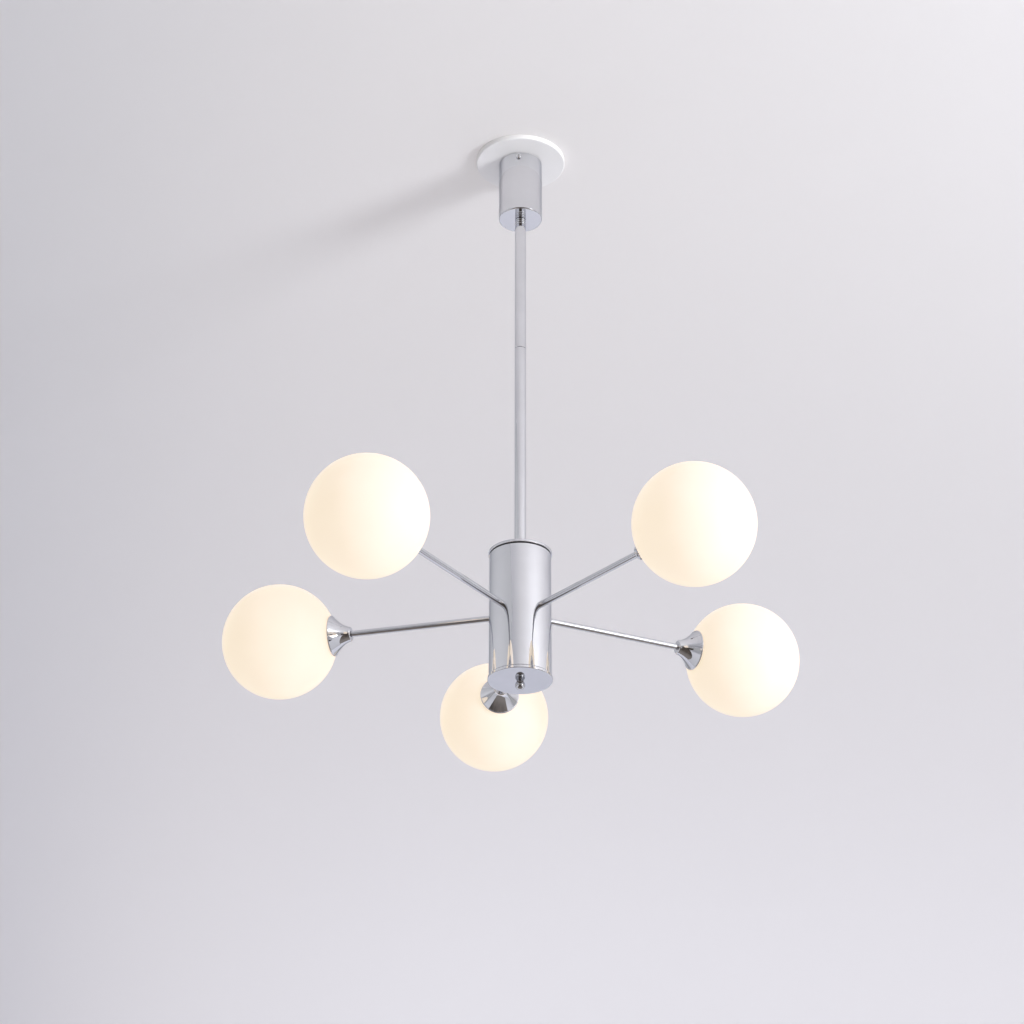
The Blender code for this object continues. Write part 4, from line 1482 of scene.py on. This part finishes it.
def makeLampHolders():
    for number in armNumbers:
        place = armFrames[number]
        node = f"lamp_holder_{number}"
        start, end, barrel = alongArm(node, number)
        armEnd = alongArm(f"arm_tube_{number}", number)[1]
        neckEnd = alongArm(f"neck_ring_{number}", number)[0]
        stop = armEnd + 1 * mm
        floor = stop + holderLook["wall"]
        barrelEnd = end - holderLook["topLength"]
        barrelStart = neckEnd - 2 * mm
        nutEnd = start + holderLook["nutLength"]
        socket, depth = holderLook["socket"], holderLook["socketDepth"]
        holder = turned(
            f"lampHolder{number}",
            [
                (0, floor),
                (socket, floor),
                *roundThread(socket + depth, depth, floor + 2 * mm, end - 2 * mm, holderLook["socketPitch"]),
                (socket, end, softEdge),
                (holderLook["topRadius"], end, 0.8 * mm),
                (holderLook["topRadius"], barrelEnd, softEdge),
                (barrel, barrelEnd, 0.4 * mm),
                *roundThread(
                    barrel, holderLook["threadDepth"], barrelEnd - 1 * mm, barrelStart, holderLook["pitch"]
                ),
                (holderLook["neckRadius"], barrelStart - holderLook["barrelStep"], 1 * mm),
                (holderLook["neckRadius"], nutEnd + 0.1 * mm, softEdge),
                (holderLook["hole"], nutEnd + 0.1 * mm),
                (holderLook["hole"], stop),
                (0, stop),
            ],
            steps=72,
        )
        fit(weighted(holder), "fixture", ceramicFinish, "ceramic", node, place=place)
        nut = hexNut(f"holderNut{number}", holderLook["nut"], holderLook["hole"], start, nutEnd, 0.3 * mm)
        fit(nut, "fixture", steelFinish, "zinc_steel", place=place)


makeLampHolders()


# bulbs: a frosted tube on a screw base
bulbLook = {
    "base": 6.8 * mm,
    "shoulder": 19.8 * mm,  # from the base's end to the glass
    "pitch": 2.5 * mm,
    "threadDepth": 0.55 * mm,
    "contact": 2.4 * mm,
}


def makeBulbs():
    for number in armNumbers:
        place = armFrames[number]
        body = f"lamp_{number}"
        start, tip, radius = alongArm(f"bulb_{number}", number)
        shoulder = start + bulbLook["shoulder"]
        base = bulbLook["base"]
        glass = turned(
            f"bulbGlass{number}",
            [
                *arcPoints((0, tip - radius), radius, 0, 90, 14),
                (radius, shoulder + 3 * mm, 2 * mm),
                (base - 0.5 * mm, shoulder, softEdge),
                (base - 0.9 * mm, shoulder - 1 * mm),
                (0, shoulder - 1 * mm),
            ],
            steps=72,
        )
        fit(weighted(glass), body, bulbGlass, "bulb", f"bulb_{number}", place=place)
        thread = roundThread(
            base, bulbLook["threadDepth"], shoulder - 2.6 * mm, start + 3.4 * mm, bulbLook["pitch"]
        )
        metal = turned(
            f"bulbBase{number}",
            [
                (0, shoulder - 1.1 * mm),
                (base - 0.8 * mm, shoulder - 1.1 * mm),
                (base - 0.1 * mm, shoulder - 0.6 * mm, 0.2 * mm),
                (base - 0.1 * mm, shoulder - 2.4 * mm),
                *thread,
                (bulbLook["contact"] + 1.9 * mm, start + 1.4 * mm, 0.4 * mm),
                (bulbLook["contact"], start + 1.2 * mm),
                (bulbLook["contact"], start + 0.1 * mm, 0.7 * mm),
                (0, start + 0.1 * mm),
            ],
            steps=72,
        )
        fit(weighted(metal), body, steelFinish, "zinc_steel", place=place)


makeBulbs()


# globes: blown opal balls with a short neck and a threaded brass ring
globeLook = {
    "wall": 2.5 * mm,
    "neck": 17 * mm,
    "rootRound": 1.6 * mm,
    "mouthRound": 1.1 * mm,
    "rings": 72,
}


def makeGlobes():
    for number in armNumbers:
        neckEnd, far, radius = alongArm(f"globe_{number}", number)
        middle = far - radius
        neck, bore = globeLook["neck"], globeLook["neck"] - globeLook["wall"]
        inside = radius - globeLook["wall"]
        outerStop = 180 - math.degrees(math.asin(neck / radius))
        innerStop = 180 - math.degrees(math.asin(bore / inside))
        outer = arcPoints((0, 0), radius, 0, outerStop, globeLook["rings"])
        inner = arcPoints((0, 0), inside, innerStop, 0, globeLook["rings"])
        globe = turned(
            f"globe{number}",
            [
                *outer[:-1],
                (*outer[-1], globeLook["rootRound"]),
                (neck, neckEnd - middle, globeLook["mouthRound"]),
                (bore, neckEnd - middle, globeLook["mouthRound"]),
                (*inner[0], globeLook["rootRound"]),
                *inner[1:-1],
                (0, inside),
            ],
            steps=144,
            pieces=6,
        )
        place = armFrames[number] @ Matrix.Translation((0, 0, middle))
        fit(globe, f"shade_{number}", opalGlass, "opal_glass", f"globe_{number}", place=place)


makeGlobes()

ringLook = {"wall": 2 * mm, "pitch": 2.2 * mm, "threadDepth": 0.5 * mm, "lead": 0.8 * mm, "edge": 0.4 * mm}


def makeNeckRings():
    for number in armNumbers:
        node = f"neck_ring_{number}"
        near, far, outer = alongArm(node, number)
        inner, depth, lead = outer - ringLook["wall"], ringLook["threadDepth"], ringLook["lead"]
        ring = turned(
            f"neckRing{number}",
            [
                (inner + 0.3 * mm, near),
                (outer, near, ringLook["edge"]),
                (outer, far, ringLook["edge"]),
                (inner + 0.3 * mm, far),
                *roundThread(inner + depth, depth, far - lead, near + lead, ringLook["pitch"]),
            ],
            closed=True,
            steps=96,
        )
        fit(weighted(ring), f"shade_{number}", brassFinish, "brass", node, place=armFrames[number])


makeNeckRings()
print("lamps and globes made")


# wiring: a cable down the stem to a board in the hub, and a lead to each lamp
wiringLook = {
    "cable": 2.5 * mm,
    "lead": 1.5 * mm,
    "circle": 11 * mm,
    "bend": 13 * mm,
    "drop": 24 * mm,
    "board": 15 * mm,
    "boardHeight": 7 * mm,
    "boardHole": 5.45 * mm,
    "boardEdge": 0.9 * mm,
    "wellReach": 0.93 * 12.8 * mm,
    "wellSide": 4.6 * mm,
    "wellRadius": 1.5 * mm,
    "screwRadius": 1.2 * mm,
    "screwInset": 0.5 * mm,
    "screwEnd": 1.9 * mm,
    "slotWidth": 0.4 * mm,
    "slotDepth": 0.4 * mm,
    "slack": 0.05 * mm,  # the wires are this much thinner than their solids
}


def makeStemCable():
    start = topOf("stem_cable")
    leave = slotTop - 2 * mm
    join = leave - wiringLook["drop"]
    end = bottomOf("stem_cable")
    circle = wiringLook["circle"]
    steps = [(0, start + (leave - start) * i / 8) for i in range(9)]
    for i in range(1, 10):
        share = i / 10
        steps.append((circle * share * share * (3 - 2 * share), leave + (join - leave) * share))
    steps += [(circle, join), (circle, (join + end) / 2), (circle, end)]
    points = [cableWay * reach + Vector((0, 0, height)) for reach, height in steps]
    cable = tubeAlong("stemCable", points, wiringLook["cable"] - wiringLook["slack"])
    fit(cable, "fixture", cableFinish, "wiring", "stem_cable")


makeStemCable()


def makeHubWiring():
    low = bottomOf("hub_wiring")
    high = low + wiringLook["boardHeight"]
    edge = wiringLook["boardEdge"]
    board = turned(
        "hubBoard",
        [
            (wiringLook["boardHole"], low, edge / 2),
            (wiringLook["board"], low, edge),
            (wiringLook["board"], high, edge),
            (wiringLook["boardHole"], high, edge / 2),
        ],
        closed=True,
        steps=96,
    )
    wells, heads = [], []
    for number in armNumbers:
        outwards = jointAxes[f"globe_{number}_pull"]
        sideways = outwards.cross(Vector((0, 0, 1)))
        for side in (1, -1):
            spot = outwards * wiringLook["wellReach"] + sideways * side * wiringLook["wellSide"]
            wells.append(put(drum(wiringLook["wellRadius"], 4 * mm, 24), (spot.x, spot.y, low)))
            face, back = low + wiringLook["screwInset"], low + wiringLook["screwEnd"]
            turn = number * 67 + side * 25  # each slot stands its own way
            head = clampScrew(wiringLook, face, back, wiringLook["slotDepth"], turn)
            heads.append(put(head, (spot.x, spot.y, 0)))
    weighted(carve(board, wells))
    fit(board, "fixture", whitePlastic, "white_plastic", "hub_wiring")
    fit(weighted(joined("boardScrews", heads)), "fixture", brassFinish, "brass")
    for number in armNumbers:
        outwards = jointAxes[f"globe_{number}_pull"]
        armEnd = alongArm(f"arm_tube_{number}", number)[1]
        bend, circle = wiringLook["bend"], wiringLook["circle"]
        steps = [(circle, high - 0.5 * mm), (circle, (high + armLevel - bend) / 2)]
        for i in range(7):
            turn = math.pi - math.pi / 2 * i / 6
            steps.append((circle + bend + bend * math.cos(turn), armLevel - bend + bend * math.sin(turn)))
        steps += [(circle + bend + 30 * mm, armLevel), (armEnd - 1 * mm, armLevel)]
        points = [outwards * reach + Vector((0, 0, height)) for reach, height in steps]
        lead = tubeAlong(f"armLead{number}", points, wiringLook["lead"] - wiringLook["slack"])
        fit(lead, "fixture", cableFinish, "wiring")


makeHubWiring()
print("wiring made")


# stage: a ceiling and a floor, each seen only from its own side, and cards that only mirrors see
stageLook = {
    "size": 16.0,
    "ceilingLevel": 0.3 * mm,
    "floorLevel": -2.6,
    "roughness": 0.9,
    "ceilingAlbedo": (0.70, 0.69, 0.70),
    "ceilingDark": (0.0, 0.0, 0.0),
    "ceilingLight": (0.125, 0.11, 0.094),
    "ceilingFar": (0.27, 0.26, 0.258),
    "ceilingSlant": 0.18,  # how much the lit part leans as it goes back
    "ceilingSweep": (-1.1, -0.1),  # from dark to light, along X
    "farSweepX": (-1.3, 0.6),
    "farSweepY": (0.4, 4.2),
    "floorAlbedo": (0.42, 0.43, 0.45),
    "floorNear": (0.24, 0.24, 0.255),
    "floorFar": (0.47, 0.47, 0.525),
    "floorSweep": (-0.6, 2.4),
}
cardLook = {  # colours, and the stretch over which each card fades
    "darkAlbedo": (0.04, 0.035, 0.03),
    "darkDeep": (0.012, 0.010, 0.010),
    "darkPatch": (0.10, 0.075, 0.06),
    "darkNear": (0.20, 0.18, 0.17),
    "darkSweep": (-1.5, 0.5),
    "lightAlbedo": (0.1, 0.1, 0.1),
    "reflector": (0.64, 0.64, 0.67),
    "reflectorSoft": 0.76,
    "reflectorSweep": (-2.0, -0.7),
    "side": (0.66, 0.66, 0.71),
    "sideSoft": 0.8,
    "sideSweep": (-3.0, 2.0),
    "window": (3.2, 3.15, 3.1),
    "windowSoft": 0.93,
}
cardPlaces = {  # finish, place, turn in degrees, width and height
    "darkRoomSide": ("dark", (0, -4.9, -1.95), (-90, 0, 0), 6.5, 1.3),
    "darkBelow": ("dark", (0, -1.8, stageLook["floorLevel"] + 0.05), (0, 0, 0), 3.6, 6.2),
    "sideBright-1": ("bright", (-3.7, -0.6, stageLook["floorLevel"] + 0.04), (0, 0, 0), 3.8, 5.0),
    "sideBright1": ("bright", (3.7, -0.6, stageLook["floorLevel"] + 0.04), (0, 0, 0), 3.8, 5.0),
    "leftReflector": ("reflector", (-1.9, 0.9, -0.02), (180, 0, 0), 2.4, 4.4),
}
lightLook = {
    "keyPlace": (2.8, -1.95, -1.0),
    "aim": (0, 0, -0.35),
    "keySize": 0.9,
    "keyEnergy": 105,
    "keyColour": (0.96, 0.98, 1.0),
    "windowWidth": 0.9,
    "windowHeight": 1.2,
    "fillPlace": (-0.7, -2.2, -2.4),
    "fillSize": 2.4,
    "fillEnergy": 5,
    "fillColour": (0.9, 0.94, 1.0),
    "worldStrength": 0.5,
    "worldColour": (0.90, 0.90, 0.92),
}


def stageSheet(name, place, turn, width, height, material):
    shape = bmesh.new()
    bmesh.ops.create_grid(shape, x_segments=1, y_segments=1, size=0.5)
    mesh = bpy.data.meshes.new(name)
    shape.to_mesh(mesh)
    shape.free()
    made = bpy.data.objects.new(name, mesh)
    made.location = place
    made.rotation_euler = [math.radians(angle) for angle in turn]
    made.scale = (width, height, 1)
    mesh.materials.append(material)
    bpy.context.scene.collection.objects.link(made)
    return made


def mirrorCard(name, place, turn, width, height, material):  # lights nothing and shades nothing
    made = stageSheet(name, place, turn, width, height, material)
    made.visible_camera = made.visible_diffuse = made.visible_shadow = False
    return made


def oneSided(name, albedo, glow):  # glow is a function that gives the emission colour socket
    made = bpy.data.materials.new(name)
    made.use_nodes = True
    tree = made.node_tree
    tree.nodes.clear()
    out = tree.nodes.new("ShaderNodeOutputMaterial")
    back = tree.nodes.new("ShaderNodeNewGeometry").outputs["Backfacing"]
    clear = tree.nodes.new("ShaderNodeBsdfTransparent")
    face = addNode(
        tree,
        "ShaderNodeBsdfPrincipled",
        {"Roughness": stageLook["roughness"], "Emission Strength": 1.0, "Base Color": (*albedo, 1)},
    )
    tree.links.new(glow(tree), face.inputs["Emission Color"])
    mixed = tree.nodes.new("ShaderNodeMixShader")
    tree.links.new(back, mixed.inputs[0])
    tree.links.new(face.outputs[0], mixed.inputs[1])
    tree.links.new(clear.outputs[0], mixed.inputs[2])
    tree.links.new(mixed.outputs[0], out.inputs["Surface"])
    return made


def worldPlace(tree):
    return tree.nodes.new("ShaderNodeNewGeometry").outputs["Position"]


def coordinate(tree, axis):
    return addNode(tree, "ShaderNodeSeparateXYZ", {0: worldPlace(tree)}).outputs[axis]


def softened(colour, share):
    return tuple(share * level for level in colour)


# painted light: emission on the ceiling, none to the left, growing to the right and further back, standing
# for the window's light falling across it
def ceilingGlow(tree):
    acrossRoom = mathNode(
        tree, "MULTIPLY_ADD", coordinate(tree, "Y"), stageLook["ceilingSlant"], coordinate(tree, "X")
    )
    lit = fade(tree, acrossRoom, *stageLook["ceilingSweep"])
    near = mixColours(tree, lit, stageLook["ceilingDark"], stageLook["ceilingLight"])
    away = mathNode(
        tree,
        "MULTIPLY",
        fade(tree, acrossRoom, *stageLook["farSweepX"]),
        fade(tree, coordinate(tree, "Y"), *stageLook["farSweepY"]),
    )
    return mixColours(tree, away, near, stageLook["ceilingFar"])


# painted light: emission on the floor, dimmer towards the front and brighter further back
def floorGlow(tree):
    share = fade(tree, coordinate(tree, "Y"), *stageLook["floorSweep"])
    return mixColours(tree, share, stageLook["floorNear"], stageLook["floorFar"])


def darkGlow(tree):  # darkest in front of the lamp, a warm grey right under it
    patches = fade(tree, noiseNode(tree, worldPlace(tree), 1.6, 3, 0.5), 0.35, 0.7)
    deep = mixColours(tree, patches, cardLook["darkDeep"], cardLook["darkPatch"])
    return mixColours(
        tree, fade(tree, coordinate(tree, "Y"), *cardLook["darkSweep"]), deep, cardLook["darkNear"]
    )


def sideGlow(tree):
    share = fade(tree, coordinate(tree, "Y"), *cardLook["sideSweep"])
    return mixColours(tree, share, cardLook["side"], softened(cardLook["side"], cardLook["sideSoft"]))


def reflectorGlow(tree):
    share = fade(tree, coordinate(tree, "X"), *cardLook["reflectorSweep"])
    soft = softened(cardLook["reflector"], cardLook["reflectorSoft"])
    return mixColours(tree, share, cardLook["reflector"], soft)


def windowGlow(tree):
    cloud = fade(tree, noiseNode(tree, worldPlace(tree), 1.2, 2, 0.5), 0.3, 0.7)
    return mixColours(tree, cloud, softened(cardLook["window"], cardLook["windowSoft"]), cardLook["window"])


def addLight(name, place, size, energy, colour):
    lamp = bpy.data.lights.new(name, "AREA")
    lamp.size = size
    lamp.energy = energy
    lamp.color = colour
    made = bpy.data.objects.new(name, lamp)
    made.location = place
    made.rotation_euler = (Vector(lightLook["aim"]) - Vector(place)).to_track_quat("-Z", "Y").to_euler()
    made.visible_camera = made.visible_glossy = False  # mirrors see the cards in their place
    bpy.context.scene.collection.objects.link(made)


def makeRoom():
    size = stageLook["size"]
    ceilingPaintAndLight = oneSided("ceilingPaintAndLight", stageLook["ceilingAlbedo"], ceilingGlow)
    stageSheet("ceiling", (0, 0, stageLook["ceilingLevel"]), (180, 0, 0), size, size, ceilingPaintAndLight)
    floorPaintAndLight = oneSided("floorPaintAndLight", stageLook["floorAlbedo"], floorGlow)
    stageSheet("floor", (0, 0, stageLook["floorLevel"]), (0, 0, 0), size, size, floorPaintAndLight)
    finishes = {
        "dark": oneSided("darkCard", cardLook["darkAlbedo"], darkGlow),
        "bright": oneSided("sideCard", cardLook["lightAlbedo"], sideGlow),
        "reflector": oneSided("leftReflector", cardLook["lightAlbedo"], reflectorGlow),
    }
    for name, (kind, *sheet) in cardPlaces.items():
        mirrorCard(name, *sheet, finishes[kind])


def makeLights():
    for kind in ("key", "fill"):
        addLight(kind + "Light", *(lightLook[kind + item] for item in ("Place", "Size", "Energy", "Colour")))
    window = mirrorCard(
        "window",
        lightLook["keyPlace"],
        (0, 0, 0),
        lightLook["windowWidth"],
        lightLook["windowHeight"],
        oneSided("windowCard", cardLook["lightAlbedo"], windowGlow),
    )
    towards = Vector(lightLook["aim"]) - window.location
    window.rotation_euler = towards.to_track_quat("Z", "Y").to_euler()


def makeWorld():
    world = bpy.data.worlds.new("room")
    bpy.context.scene.world = world
    world.use_nodes = True
    ground = world.node_tree.nodes["Background"]
    ground.inputs["Color"].default_value = (*lightLook["worldColour"], 1)
    ground.inputs["Strength"].default_value = lightLook["worldStrength"]


makeRoom()
makeLights()
makeWorld()
bpy.context.scene.view_settings.view_transform = "Standard"
print("stage and light set")
